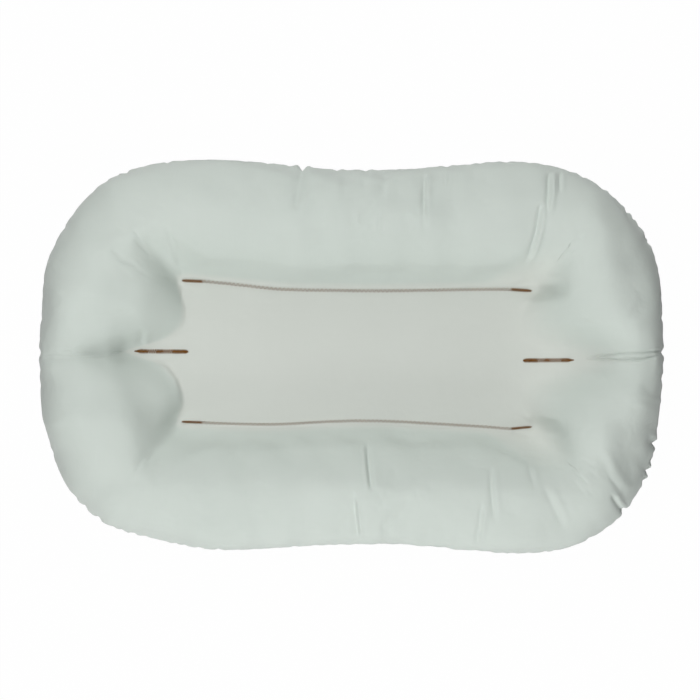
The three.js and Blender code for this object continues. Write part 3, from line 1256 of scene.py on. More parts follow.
    def hem(self) -> Array:
        """Two rows that turn the cloth's edge in at the seam."""
        edge = self.ring[0]
        turned = []
        for depth, drop in self.hem_folds:
            row = edge.copy()
            row[:, :2] -= self.fine.outwards() * depth
            lip = self.fine.seam_height + self.face.value * self.lip_gap
            row[:, 2] = edge[:, 2] * (1 - drop) + lip * drop
            turned.append(row)
        return np.stack(turned)

    def sling(self, edge: Array) -> Array:
        """Rows of one layer of the sling, from the foot of the ring to its middle line."""
        along = 1 - abs(1 - 2 * self.shares)
        ends = self.fine.foot[[0, len(self.shares) // 2]]
        spine_x = (along - 0.5) * 2 * self.spine_share * CAD_BOX[1].x
        spine_y = ends[0, 1] * (1 - along) + ends[1, 1] * along
        spine = np.stack([spine_x, spine_y, np.full(len(along), self.fine.level(self.face))], axis=1)
        shares = np.array(self.sling_shares)[:, None, None]
        rows = edge * (1 - shares) + spine * shares
        inside = shares[..., 0]
        sag = -self.sag * smooth_step(0, self.sag_share, inside)
        lengthwise = rows * np.array([1, 0.5, 0])
        waves = seeded_waves(lengthwise, self.wave_seed, self.wave_count, *self.wave_lengths)
        waves *= self.sling_waves
        rows[..., 2] += (sag + waves * smooth_step(0, self.wave_share, inside)) * self.freed(rows)
        return rows

    def flat_places(self, grid: Array, ring_rows: int) -> Array:
        """Where each point lay on the flat cloth before it was sewn, in metres."""
        arc = arc_lengths(grid[:ring_rows])
        to_foot = arc[-1] - arc
        flat = grid[..., :2].copy()
        flat[:ring_rows] = grid[ring_rows - 1, :, :2] + self.fine.outwards() * to_foot[..., None]
        return flat

    def painted_light_share(self, grid: Array, ring_rows: int) -> Array:
        """Share of painted light, a lighter colour standing in for light: 1 on the sling, fading out up the
        ring's foot and farther up the foot end's slope, 0 on the stuffed ring.
        """
        to_foot = self.fine.from_foot(grid)
        to_foot[ring_rows:] = 0
        past_rows = self.fine.foot[:, 0] - self.rows.long_reach()[1]
        towards_foot = smooth_step(-self.foot_painted_light_reach, 0, past_rows)
        reach = self.painted_light_reach + (self.foot_painted_light_reach - self.painted_light_reach) * towards_foot
        return (1 - smooth_step(0, 1, to_foot / reach)).ravel().astype(np.float32)

    def build(self, name: str, node: str, material: Material) -> Piece:
        """Makes the cover's object.

        Args:
            name: The piece's name.
            node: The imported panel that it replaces.
            material: The cloth.

        Returns:
            The finished cover, which rides on the lounger's one body.
        """
        hem = self.hem()
        grid = np.concatenate([hem, self.grid])
        flat = self.flat_places(grid, len(hem) + len(self.ring))
        piece = grid_object(name, grid, flat, self.face)
        # Each point's share of painted light, which the cotton's colour reads.
        painted_light = piece.data.attributes.new("painted_light", "FLOAT", "POINT")
        painted_light.data.foreach_set("value", self.painted_light_share(grid, len(hem) + len(self.ring))[: len(painted_light.data)])
        thicken(piece, self.thickness)
        piece.data.materials.append(material)
        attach(piece, ROOT)
        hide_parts(node)
        return piece


def grid_object(name: str, grid: Array, flat: Array, face: Face) -> Piece:
    """A mesh object from a grid whose rows are closed and whose last row is the sling's middle line.

    Args:
        name: The object's name.
        grid: Rows of points from the hem to the middle line, which has each point twice.
        flat: Each point's place on the flat cloth, for the UV map.
        face: Which way the cloth faces.

    Returns:
        The linked object, smooth shaded, with a UV map in metres.
    """
    rows, count, _ = grid.shape
    index = np.arange(rows * count).reshape(rows, count)
    half = count // 2
    station = np.arange(count)
    index[-1] = index[-1, 0] + np.where(station <= half, station, count - station)
    points = grid.reshape(-1, 3)[: index[-1, 0] + half + 1]
    right = np.roll(index, -1, 1)
    quads = np.stack([index[:-1], index[1:], right[1:], right[:-1]], axis=-1).reshape(-1, 4)
    if face is Face.BOTTOM:
        quads = quads[:, ::-1]
    faces = [list(dict.fromkeys(quad)) for quad in quads.tolist()]
    mesh = bpy.data.meshes.new(name)
    mesh.from_pydata(points.tolist(), [], [corners for corners in faces if len(corners) > 2])
    mesh.shade_smooth()
    corners = np.zeros(len(mesh.loops), int)
    mesh.loops.foreach_get("vertex_index", corners)
    layer = mesh.uv_layers.new(name="cloth")
    layer.data.foreach_set("uv", flat.reshape(-1, 2)[corners].astype(np.float32).ravel())
    return linked(name, mesh)


def thicken(piece: Piece, thickness: float) -> None:
    """Gives a sheet its thickness on the inner side and applies it."""
    solid = piece.modifiers.new("thickness", "SOLIDIFY")
    solid.thickness = thickness
    solid.offset = -1
    solid.use_rim = True
    apply_modifiers(piece)


def apply_modifiers(piece: Piece) -> None:
    """Turns an object's evaluated shape into its plain mesh and removes its modifiers."""
    graph = bpy.context.evaluated_depsgraph_get()
    mesh = bpy.data.meshes.new_from_object(piece.evaluated_get(graph))
    old = piece.data
    piece.modifiers.clear()
    piece.data = mesh
    bpy.data.meshes.remove(old)
    mesh.name = piece.name


# Sewing thread


@dataclass(frozen=True)
class StitchRun:
    """A stretch of zigzag stitches with one step between needle holes."""

    length: float
    step: float


class ZigzagTree(NodeBuilder):
    """The node tree that lays a twisted thread from needle hole to needle hole along a guide."""

    NAME = "zigzag_stitches"
    POINTS = 11
    SIDES = 10
    END_POWER = 12.0
    FLATNESS = 0.66

    def __init__(self) -> None:
        """Builds the tree."""
        super().__init__(bpy.data.node_groups.new(self.NAME, "GeometryNodeTree"))
        self.sockets: dict[str, str] = {}
        kinds = {"Guide": "Geometry", "Seed": "Int", "Thread": "Material"}
        for name in ("Guide", "Thread width", "Rise", "Bury", "Twist turns", "Wander", "Seed", "Thread"):
            kind = "NodeSocket" + kinds.get(name, "Float")
            socket = self.tree.interface.new_socket(name, in_out="INPUT", socket_type=kind)
            self.sockets[name] = socket.identifier
        self.tree.interface.new_socket("Threads", in_out="OUTPUT", socket_type="NodeSocketGeometry")
        self.source = self.add("NodeGroupInput").outputs
        self.lay_threads()

    def position(self) -> Socket:
        """Where each point is."""
        return self.out("GeometryNodeInputPosition")

    def attribute(self, name: str, kind: str = "FLOAT_VECTOR") -> Socket:
        """A value that the guide's points carry."""
        return self.out("GeometryNodeInputNamedAttribute", {"Name": name}, data_type=kind)

    def store(self, geometry: object, name: str, value: object) -> Socket:
        """Writes a vector onto the guide's points."""
        inputs = {"Geometry": geometry, "Name": name, "Value": value}
        return self.out("GeometryNodeStoreNamedAttribute", inputs, data_type="FLOAT_VECTOR", domain="POINT")

    def stitch(self) -> Socket:
        """One stitch along X, one unit long, with its ends down in the cloth and a twisted section."""
        line = self.out("GeometryNodeCurvePrimitiveLine", {"Start": (-0.5, 0, 0), "End": (0.5, 0, 0)})
        fine = self.out("GeometryNodeResampleCurve", {"Curve": line, "Count": self.POINTS})
        place = self.out("ShaderNodeSeparateXYZ", {0: self.position()})
        across = self.math("MULTIPLY", place, 2.0)
        edge = self.math("POWER", self.math("ABSOLUTE", across), self.END_POWER)
        hump = self.math("SUBTRACT", 1.0, self.math("MULTIPLY", across, across))
        lifted = self.math("MULTIPLY", hump, self.source["Rise"])
        lifted = self.math("SUBTRACT", lifted, self.math("MULTIPLY", edge, self.source["Bury"]))
        offset = self.out("ShaderNodeCombineXYZ", {"Z": lifted})
        bowed = self.out("GeometryNodeSetPosition", {"Geometry": fine, "Offset": offset})
        turns = self.math("MULTIPLY", place, self.source["Twist turns"])
        tilt = self.math("MULTIPLY", turns, math.tau)
        tilted = self.out("GeometryNodeSetCurveTilt", {"Curve": bowed, "Tilt": tilt})
        radius = self.math("MULTIPLY", self.source["Thread width"], 0.5)
        sizes = {"Resolution": self.SIDES, "Radius": radius}
        ring = self.out("GeometryNodeCurvePrimitiveCircle", sizes, mode="RADIUS")
        spot = self.add("ShaderNodeSeparateXYZ", {0: self.position()}).outputs
        flatter = self.math("MULTIPLY", spot[1], self.FLATNESS)
        squeezed = self.out("ShaderNodeCombineXYZ", {"X": spot[0], "Y": flatter, "Z": 0.0})
        section = self.out("GeometryNodeSetPosition", {"Geometry": ring, "Position": squeezed})
        parts = {"Curve": tilted, "Profile Curve": section, "Fill Caps": True}
        return self.out("GeometryNodeCurveToMesh", parts)

    def lay_threads(self) -> None:
        """Places the stitches between neighbouring needle holes and makes them one mesh."""
        index = self.out("GeometryNodeInputIndex")
        parity = self.math("MODULO", index, 2.0)
        sign = self.math("SUBTRACT", self.math("MULTIPLY", parity, 2.0), 1.0)
        wander = self.source["Wander"]
        drawn = {2: self.math("MULTIPLY", wander, -1.0), 3: wander, "Seed": self.source["Seed"]}
        chance = self.add("FunctionNodeRandomValue", drawn, data_type="FLOAT").outputs[1]
        swing = self.math("MULTIPLY", sign, self.attribute("swing", "FLOAT"))
        swing = self.math("ADD", swing, chance)
        sideways = self.vector("SCALE", self.attribute("side"), swing)
        hole = self.vector("ADD", self.position(), sideways)
        stored = self.store(self.source["Guide"], "hole", hole)
        here = self.attribute("hole")
        next_hole = {"Index": self.math("ADD", index, 1.0), "Value": here}
        following = self.out("GeometryNodeFieldAtIndex", next_hole, data_type="FLOAT_VECTOR", domain="POINT")
        stored = self.store(stored, "reach", self.vector("SUBTRACT", following, here))
        middle = self.vector("SCALE", self.vector("ADD", following, here), 0.5)
        stored = self.store(stored, "middle", middle)
        shift = {"Geometry": stored, "Position": self.attribute("middle")}
        moved = self.out("GeometryNodeSetPosition", shift)
        size = self.out("GeometryNodeAttributeDomainSize", {0: self.source["Guide"]})
        pair = {0: index, 1: self.math("SUBTRACT", size, 1.0)}
        all_but_last = self.out("FunctionNodeCompare", pair, data_type="FLOAT", operation="LESS_THAN")
        reach = self.attribute("reach")
        axes = {0: reach, 1: self.attribute("up")}
        turn = self.out("FunctionNodeAxesToRotation", axes, primary_axis="X", secondary_axis="Z")
        length = self.add("ShaderNodeVectorMath", {0: reach}, operation="LENGTH").outputs["Value"]
        inputs = {
            "Points": moved,
            "Selection": all_but_last,
            "Instance": self.stitch(),
            "Rotation": turn,
            "Scale": self.out("ShaderNodeCombineXYZ", {"X": length, "Y": 1.0, "Z": 1.0}),
        }
        real = self.out("GeometryNodeRealizeInstances", {0: self.out("GeometryNodeInstanceOnPoints", inputs)})
        smooth = self.out("GeometryNodeSetShadeSmooth", {"Geometry": real})
        dyed = self.out("GeometryNodeSetMaterial", {"Geometry": smooth, "Material": self.source["Thread"]})
        self.add("NodeGroupOutput", {0: dyed})

    def run(self, name: str, guide: "StitchGuide", values: dict[str, object]) -> Piece:
        """Sews along a guide.

        Args:
            name: The new object's name.
            guide: Needle places with their directions and swings.
            values: Values of the tree's inputs by name.

        Returns:
            An object with a plain mesh of all the stitches.
        """
        piece = linked(name, guide.mesh(name))
        modifier = piece.modifiers.new("stitches", "NODES")
        modifier.node_group = self.tree
        for key, value in values.items():
            modifier[self.sockets[key]] = value
        apply_modifiers(piece)
        for extra in ("swing", "side", "up", "hole", "reach", "middle"):
            found = piece.data.attributes.get(extra)
            if found:
                piece.data.attributes.remove(found)
        return piece


@dataclass
class StitchGuide:
    """Needle places along a row, with the sideways direction, the cloth's normal and the swing."""

    points: Array
    side: Array
    up: Array
    swing: Array

    def mesh(self, name: str) -> bpy.types.Mesh:
        """The guide as a mesh of single points that carry the three values."""
        mesh = bpy.data.meshes.new(name + "_guide")
        mesh.from_pydata(self.points.tolist(), [], [])
        for key, values in (("side", self.side), ("up", self.up)):
            layer = mesh.attributes.new(key, "FLOAT_VECTOR", "POINT")
            layer.data.foreach_set("vector", values.astype(np.float32).ravel())
        layer = mesh.attributes.new("swing", "FLOAT", "POINT")
        layer.data.foreach_set("value", self.swing.astype(np.float32))
        return mesh


class Thread(Enum):
    """The thread on the sling's top face or on its underside."""

    NEEDLE = "needle"
    BOBBIN = "bobbin"


@dataclass
class SewnRows:
    """All the zigzag rows that sew the two panels to each other."""

    plan: RingPlan
    rows: RowPlan
    material: Material
    row_width: float = 0.00090
    tack_width: float = 0.00145
    end_width: float = 0.00110
    lift: float = 0.0003
    rise_share: float = 0.3
    bury_share: float = 0.9
    twist_turns: float = 2.0
    wander: float = 0.00012
    left_swing: float = 0.0021
    right_swing: float = 0.0019
    tack_swing: float = 0.0023
    end_swing: float = 0.0029
    open_step: float = 0.0025
    tack_step: float = 0.00125
    tack_turn: float = 0.0010
    taper: float = 0.006
    taper_share: float = 0.55
    right_narrow: float = 0.82
    end_slant: float = 0.0006
    end_round: float = 0.15
    head_runs: tuple[StitchRun, ...] = (
        StitchRun(0.006, 0.0007),
        StitchRun(0.009, 0.00085),
        StitchRun(0.010, 0.0013),
        StitchRun(0.007, 0.00085),
        StitchRun(0.011, 0.0013),
        StitchRun(0.019, 0.00080),
    )
    foot_runs: tuple[StitchRun, ...] = (
        StitchRun(0.007, 0.0007),
        StitchRun(0.007, 0.00085),
        StitchRun(0.013, 0.0013),
        StitchRun(0.005, 0.00085),
        StitchRun(0.009, 0.0013),
        StitchRun(0.017, 0.00080),
    )
    end_taper: float = 0.008
    end_taper_share: float = 0.25
    tree: ZigzagTree = field(default_factory=ZigzagTree)

    def level(self, thread: Thread) -> float:
        """Height of the thread's middle line."""
        face = Face.TOP if thread is Thread.NEEDLE else Face.BOTTOM
        return self.plan.level(face) + face.value * self.lift

    def guide(self, line: Array, places: Array, swing: Array, thread: Thread) -> StitchGuide:
        """Needle places at distances along a row's line.

        Args:
            line: The row's middle line, in plan.
            places: Distances from its first point.
            swing: Half the zigzag's width at each place.
            thread: Which face of the sling it lies on.

        Returns:
            The guide for the node tree.
        """
        arc = arc_lengths(line)
        x = np.interp(places, arc, line[:, 0])
        y = np.interp(places, arc, line[:, 1])
        points = np.stack([x, y, np.full(len(x), self.level(thread))], axis=1)
        points[:, 2] += self.rows.lift(points)
        tangent = np.gradient(points, axis=0)
        tangent /= np.linalg.norm(tangent, axis=1, keepdims=True)
        face = np.array([0.0, 0.0, 1 if thread is Thread.NEEDLE else -1])
        side = np.cross(face, tangent)
        side /= np.linalg.norm(side, axis=1, keepdims=True)
        return StitchGuide(points, side, np.cross(tangent, side), swing)

    def sew(self, name: str, guide: StitchGuide, width: float) -> None:
        """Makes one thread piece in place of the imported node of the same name."""
        values = {
            "Thread width": width,
            "Rise": width * self.rise_share,
            "Bury": width * self.bury_share,
            "Twist turns": self.twist_turns,
            "Wander": self.wander,
            "Seed": len(name),
            "Thread": self.material,
        }
        piece = self.tree.run(f"{name}_sewn", guide, values)
        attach(piece, ROOT)
        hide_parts(name)
        LOG.info("%s: %d faces", piece.name, len(piece.data.polygons))

    def long_row(self, side: Side, thread: Thread) -> None:
        """A long row: its open zigzag and the dense tacks at both ends."""
        zigzag = f"{side.value}_row_{thread.value}_thread"
        tacks = {end: f"{side.value}_row_{end.value}_tack_{thread.value}" for end in End}
        line = self.rows.long[side]
        low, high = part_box(zigzag)
        swing = self.left_swing if side is Side.LEFT else self.right_swing
        inner = line[(line[:, 0] > low.x) & (line[:, 0] < high.x)]
        ends = [[x, np.interp(x, line[:, 0], line[:, 1])] for x in (low.x, high.x)]
        open_line = np.vstack([ends[0], inner, ends[1]])
        length = np.linalg.norm(np.diff(open_line, axis=0), axis=1).sum()
        count = round(length / self.open_step)
        places = np.linspace(0, length, count + 1)
        self.sew(zigzag, self.guide(open_line, places, np.full(count + 1, swing), thread), self.row_width)
        for end, node in tacks.items():
            self.tack(node, line, side, end, thread)

    def tack(self, node: str, line: Array, side: Side, end: End, thread: Thread) -> None:
        """The dense stitches at one end of a long row, a little narrower at their outer end."""
        low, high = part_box(node)
        outer, inner = (low.x, high.x) if end is End.HEAD else (high.x, low.x)
        x = np.array([outer, inner])
        y = np.interp(x, line[:, 0], line[:, 1])
        turned = self.tack_turn * (1 if (side is Side.LEFT) == (end is End.HEAD) else -1)
        y += np.array([turned, 0])
        tack_line = np.stack([x, y], axis=1)
        length = np.linalg.norm(tack_line[1] - tack_line[0])
        places = np.arange(0, length, self.tack_step)
        narrow = 1 if side is Side.LEFT else self.right_narrow
        grown = self.taper_share + (1 - self.taper_share) * smooth_step(0, self.taper, places)
        guide = self.guide(tack_line, places, self.tack_swing * narrow * grown, thread)
        self.sew(node, guide, self.tack_width)

    def end_row(self, end: End, thread: Thread) -> None:
        """A short row in an end fold, from its drawn-out tip to its round end."""
        node = f"{end.value}_row_{thread.value}_thread"
        low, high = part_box(node)
        outer, inner = (low.x, high.x) if end is End.HEAD else (high.x, low.x)
        middle = (low.y + high.y) / 2
        line = np.array([[outer, middle], [inner, middle - self.end_slant]])
        places = [0.0]
        for stretch in self.head_runs if end is End.HEAD else self.foot_runs:
            reached = places[-1] + stretch.length
            while places[-1] < reached:
                places.append(places[-1] + stretch.step)
        places = np.array(places)
        places *= abs(inner - outer) / places[-1]
        grown = self.end_taper_share + (1 - self.end_taper_share) * smooth_step(0, self.end_taper, places)
        rounded = np.sqrt(np.clip((places[-1] - places) / self.end_swing, self.end_round, 1))
        self.sew(node, self.guide(line, places, self.end_swing * grown * rounded, thread), self.end_width)

    def build(self) -> None:
        """Sews every row with both threads."""
        for thread in Thread:
            for side in Side:
                self.long_row(side, thread)
            for end in End:
                self.end_row(end, thread)


# Inside the cover


@dataclass
class TurnedInEdges:
    """Both panels' seam allowances, overlocked to each other inside the edge seam.

    The section's upper half is given as shares of the depth and of the half thickness.
    """

    cover: Cover
    material: Material
    start: float = 0.0018
    depth: float = 0.009
    half_thickness: float = 0.0008
    waver: float = 0.0003
    ripples: int = 160
    section: tuple[Pair, ...] = ((0, 0.6), (0.08, 1), (0.5, 1), (0.92, 1), (1, 0.5))

    def build(self) -> Piece:
        """Makes the band, which follows the finished seam."""
        edge = self.cover.ring[0]
        inwards = -self.cover.fine.outwards()
        level = self.cover.fine.seam_height
        distance, total = self.cover.fine.perimeter()
        ripple = np.sin(distance / total * math.tau * self.ripples) * self.waver
        rows = []
        for depth_share, side in (*self.section, *((share, -side) for share, side in self.section[::-1])):
            row = edge.copy()
            row[:, :2] += inwards * (self.start + depth_share * self.depth)
            row[:, 2] = level + side * self.half_thickness + ripple * depth_share
            rows.append(row)
        faces = closed_quads(len(rows), len(edge))
        piece = smooth_piece("overlocked_edges", np.stack(rows), faces, self.material)
        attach(piece, ROOT)
        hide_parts("turned_in_edges")
        LOG.info("%s: %d faces", piece.name, len(faces))
        return piece


@dataclass
class FillingBatts:
    """Four batts of lumpy fibre between the covers."""

    top: Cover
    bottom: Cover
    material: Material
    inset: float = 0.0030
    from_foot: float = 0.012
    least_half: float = 0.0003
    lumps: float = 0.0012
    lump_seed: int = 21
    lump_count: int = 20
    lump_lengths: Pair = (0.05, 0.015)
    lump_room: float = 1.5
    from_seam: float = 0.014
    from_cover_foot: float = 0.008
    column_step: int = 4
    row_step: int = 2
    end_gap: float = 0.0008
    cap_share: float = 0.55

    def build(self) -> None:
        """Makes the four batts, each between two ends of the long rows."""
        names = ("head", "left", "foot", "right")
        corners = self.corner_stations()
        section = np.concatenate([self.inner_rows(self.top), self.inner_rows(self.bottom)[::-1]])
        for k, name in enumerate(names):
            self.batt(name, section, corners[k - 1], corners[k])

    def corner_stations(self) -> list[int]:
        """Stations at the head left, foot left, foot right and head right corners of the sling."""
        foot = self.top.fine.foot
        signs = ((-1, 1), (1, 1), (1, -1), (-1, -1))
        found = [int((foot[:, 0] * x + foot[:, 1] * y * 2).argmax()) for x, y in signs]
        return [station - station % self.column_step for station in found]

    def inner_rows(self, cover: Cover) -> Array:
        """A cover's rows moved inwards, without those at the seam and at the foot."""
        normals = grid_normals(cover.ring, cover.face)
        lumps = seeded_waves(cover.ring, self.lump_seed, self.lump_count, *self.lump_lengths) * self.lumps
        moved = cover.ring - normals * (self.inset + self.lumps * self.lump_room - lumps)[..., None]
        away = cover.away[:, 0]
        keep = np.flatnonzero((away > self.from_seam) & (away[-1] - away > self.from_cover_foot))
        moved = moved[keep[:: self.row_step]]
        outwards = cover.fine.outwards()
        along = ((moved[..., :2] - cover.fine.foot) * outwards).sum(axis=2)
        moved[..., :2] += outwards * np.maximum(self.from_foot - along, 0)[..., None]
        ceiling = HeightField.from_grid(self.top.grid).evened(moved, self.inset)
        floor = HeightField.from_grid(self.bottom.grid).evened(moved, self.inset)
        middle = (ceiling + floor) / 2
        room = np.maximum((ceiling - floor) / 2 - self.inset, self.least_half) * cover.face.value
        limit = np.minimum if cover.face is Face.TOP else np.maximum
        moved[..., 2] = limit(moved[..., 2], middle + room)
        return moved

    def batt(self, name: str, section: Array, start: int, end: int) -> None:
        """One batt between two stations.

        Args:
            name: The batt's place in the ring.
            section: The rows of all the filling, closed from the top to the bottom.
            start: The first station.
            end: The last station.
        """
        count = len(self.top.shares)
        stations = np.arange(start, end + (count if end <= start else 0) + 1, self.column_step)
        loop = section[:, stations % count]
        for outer, inner in ((0, 1), (-1, -2)):
            along = loop[:, inner] - loop[:, outer]
            loop[:, outer] += along * (self.end_gap / np.linalg.norm(along, axis=1).max())
        middles = loop.mean(axis=0)
        caps = [(middles[k] + (loop[:, k] - middles[k]) * self.cap_share)[:, None] for k in (0, -1)]
        loop = np.concatenate([caps[0], loop, caps[1]], axis=1)
        rows, columns = loop.shape[:2]
        index = np.arange(rows * columns).reshape(rows, columns)
        below = np.roll(index, -1, 0)
        quads = np.stack([index[:, :-1], below[:, :-1], below[:, 1:], index[:, 1:]], axis=-1).reshape(-1, 4)
        points = np.concatenate([loop.reshape(-1, 3), middles[[0, -1]]])
        faces = quads.tolist()
        for column, centre, turned in ((0, rows * columns, False), (columns - 1, rows * columns + 1, True)):
            for a, b in zip(index[:, column], below[:, column]):
                faces.append([centre, a, b] if turned else [centre, b, a])
        piece = smooth_piece(f"{name}_batt", points, faces, self.material)
        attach(piece, ROOT)
        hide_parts(f"{name}_filling")
        LOG.info("%s: %d faces", piece.name, len(faces))


# Finishes


class ShaderNodes(NodeBuilder):
    """Adds and links nodes in a material's tree or a shader group."""

    def noise(
        self, vector: object, scale: object, detail: float = 2.0, roughness: float = 0.5
    ) -> Socket:
        """Soft noise, 0 to 1."""
        inputs = {"Vector": vector, "Scale": scale, "Detail": detail, "Roughness": roughness}
        return self.out("ShaderNodeTexNoise", inputs)

    def mix(self, factor: object, first: object, second: object) -> Socket:
        """A colour between two others."""
        return self.add("ShaderNodeMix", {0: factor, 6: first, 7: second}, data_type="RGBA").outputs[2]

    def bump(self, height: object, strength: float, distance: float, **more: object) -> Socket:
        """Normals of a relief, over those of another where it is given."""
        inputs = {"Height": height, "Strength": strength, "Distance": distance, **more}
        return self.out("ShaderNodeBump", inputs)

    def object_place(self) -> Socket:
        """Object coordinates."""
        return self.add("ShaderNodeTexCoord").outputs["Object"]

    def effect(self, group: NodeTree, place: object) -> bpy.types.bpy_prop_collection:
        """The outputs of a shared effect at a place."""
        return self.add("ShaderNodeGroup", {"Place": place}, node_tree=group).outputs

    def stretched(self, vector: object, scale: Triple) -> Socket:
        """A vector with its own scale along each axis."""
        return self.add("ShaderNodeMapping", {"Vector": vector, "Scale": scale}).outputs[0]


class EffectGroup:
    """A shader group that more than one finish uses, with named inputs and outputs."""

    def __init__(self, name: str, inputs: dict[str, float], outputs: tuple[str, ...]) -> None:
        """Makes the empty group with its place, its number inputs and its outputs."""
        self.group = bpy.data.node_groups.new(name, "ShaderNodeTree")
        self.group.interface.new_socket("Place", in_out="INPUT", socket_type="NodeSocketVector")
        for key, value in inputs.items():
            socket = self.group.interface.new_socket(key, in_out="INPUT", socket_type="NodeSocketFloat")
            socket.default_value = value
        for key in outputs:
            self.group.interface.new_socket(key, in_out="OUTPUT", socket_type="NodeSocketFloat")
        self.nodes = ShaderNodes(self.group)
        self.source = self.nodes.add("NodeGroupInput").outputs

    def close(self, values: dict[str, Socket]) -> NodeTree:
        """Links the outputs and returns the group."""
        self.nodes.add("NodeGroupOutput", values)
        return self.group


def weave_group() -> NodeTree:
    """A plain weave of slubby yarns: its height and its tone."""
    long_slub, slub_scale, slub_base, crossing, tone_scales = 0.03, 0.35, 0.7, 0.25, (0.25, 0.008)
    group = EffectGroup("plain_weave", {"Yarns per metre": 2400.0, "Slub": 0.3}, ("Height", "Tone"))
    nodes, source = group.nodes, group.source
    place = nodes.vector("SCALE", source["Place"], source["Yarns per metre"])
    split = nodes.add("ShaderNodeSeparateXYZ", {0: place}).outputs
    waves = [nodes.math("SINE", nodes.math("MULTIPLY", split[axis], math.pi)) for axis in (0, 1)]
    crossed = nodes.math("MULTIPLY", *waves)
    yarns = []
    tones = []
    for wave, turned, step in ((waves[0], crossing, 1), (waves[1], -crossing, -1)):
        lift = nodes.math("MULTIPLY_ADD", crossed, turned, 0.5)
        slub = nodes.noise(nodes.stretched(place, (*(1.0, long_slub)[::step], 1.0)), slub_scale)
        thick = nodes.math("MULTIPLY_ADD", slub, source["Slub"], slub_base)
        raised = nodes.math("MULTIPLY", nodes.math("ABSOLUTE", wave), lift)
        yarns.append(nodes.math("MULTIPLY", raised, thick))
        tones.append(nodes.noise(nodes.stretched(place, (*tone_scales[::step], 1.0)), 1.0))
    tone = nodes.math("MULTIPLY", nodes.math("ADD", *tones), 0.5)
    return group.close({"Height": nodes.math("MAXIMUM", *yarns), "Tone": tone})


def wrinkle_group() -> NodeTree:
    """Small soft wrinkles of washed cloth: height and a mask of their crests."""
    crest_narrowness, patch_gain, patch_start, fold_share = 24.0, 2.4, -0.8, 0.6
    group = EffectGroup("soft_wrinkles", {"Scale": 22.0, "Drift": 0.02}, ("Height", "Crests"))
    nodes, source = group.nodes, group.source
    drawn = {"Vector": source["Place"], "Scale": 14.0, "Detail": 2.0}
    bent = nodes.add("ShaderNodeTexNoise", drawn).outputs[1]
    place = nodes.vector("ADD", source["Place"], nodes.vector("SCALE", bent, source["Drift"]))
    folds = nodes.noise(place, source["Scale"], detail=3.0, roughness=0.45)
    aside = nodes.math("SUBTRACT", folds, 0.5)
    narrowed = nodes.math("MULTIPLY", nodes.math("MULTIPLY", aside, aside), crest_narrowness)
    rounded = nodes.math("MAXIMUM", nodes.math("SUBTRACT", 1.0, narrowed), 0.0)
    patches = nodes.noise(source["Place"], 7.0, detail=1.0)
    mask = nodes.math("MULTIPLY_ADD", patches, patch_gain, patch_start)
    masked = nodes.math("MULTIPLY", nodes.math("POWER", rounded, 2.0), mask)
    crests = nodes.math("MAXIMUM", masked, 0.0)
    height = nodes.math("ADD", nodes.math("MULTIPLY", folds, fold_share), crests)
    return group.close({"Height": height, "Crests": crests})


@dataclass(frozen=True)
class Finish:
    """A fabric finish: its colours, roughness, sheen and relief."""

    name: str
    colour: Triple
    shade: Triple
    roughness: float
    sheen: float
    relief: float

    def tinted(self, nodes: ShaderNodes, factor: object) -> Socket:
        """The colour drifting to its shade by a factor."""
        return nodes.mix(factor, (*self.colour, 1.0), (*self.shade, 1.0))

    def material(self) -> tuple[Material, ShaderNodes]:
        """A new material with its main shader set up, and its nodes."""
        made = bpy.data.materials.new(self.name)
        made.use_nodes = True
        values = {
            "Roughness": self.roughness,
            "Sheen Weight": self.sheen,
            "Sheen Roughness": 0.5,
            "Specular IOR Level": 0.25,
        }
        for key, value in values.items():
            made.node_tree.nodes["Principled BSDF"].inputs[key].default_value = value
        made.diffuse_color = (*self.colour, 1.0)
        return made, ShaderNodes(made.node_tree)

    @staticmethod
    def dress(nodes: ShaderNodes, looks: dict[str, Socket]) -> None:
        """Links what changes over the surface to the main shader's inputs of the same names."""
        for key, source in looks.items():
            nodes.link(source, nodes.tree.nodes["Principled BSDF"].inputs[key])


@dataclass(frozen=True)
class WashedCotton(Finish):
    """Fine washed cotton, pale grey green, with painted light: a lighter, warmer colour on the sling."""

    name: str = "washed_cotton"
    colour: Triple = (0.560, 0.610, 0.570)
    shade: Triple = (0.495, 0.550, 0.510)
    roughness: float = 0.92
    sheen: float = 0.2
    relief: float = 0.00012
    # Painted light: lighter, warmer colours for the sling and the foot end's slope, standing in for light
    # that they miss.
    painted_light_colour: Triple = (0.612, 0.640, 0.598)
    painted_light_shade: Triple = (0.560, 0.590, 0.548)
    wrinkle_relief: float = 0.0016
    drift_share: float = 0.8
    slub_share: float = 0.45
    tone_start: float = -0.15
    tone_gain: float = 0.8
    rough_drift: float = 0.1
    smoother: float = 0.06

    def build(self, weave: NodeTree, wrinkles: NodeTree) -> Material:
        """Makes the material from the shared effects."""
        made, nodes = self.material()
        solid = nodes.object_place()
        woven = nodes.effect(weave, nodes.add("ShaderNodeUVMap", uv_map="cloth").outputs[0])
        creased = nodes.effect(wrinkles, solid)
        drift = nodes.noise(solid, 9.0, detail=3.0)
        tone = nodes.math("MULTIPLY_ADD", drift, self.drift_share, self.tone_start)
        tone = nodes.math("MULTIPLY_ADD", woven["Tone"], self.slub_share, tone)
        factor = nodes.math("MULTIPLY", tone, self.tone_gain)
        # Painted light: the colour turns to the lighter, warmer pair on the sling, by the point attribute
        # that the cover carries.
        painted_lit_finish = replace(self, colour=self.painted_light_colour, shade=self.painted_light_shade)
        painted_light = nodes.add("ShaderNodeAttribute", attribute_name="painted_light").outputs["Fac"]
        coarse = nodes.bump(creased["Height"], 0.5, self.wrinkle_relief)
        rough = nodes.math("MULTIPLY_ADD", drift, self.rough_drift, self.roughness - self.smoother)
        self.dress(nodes, {
            "Base Color": nodes.mix(painted_light, self.tinted(nodes, factor), painted_lit_finish.tinted(nodes, factor)),
            "Normal": nodes.bump(woven["Height"], 0.7, self.relief, Normal=coarse),
            "Roughness": rough,
        })
        return made


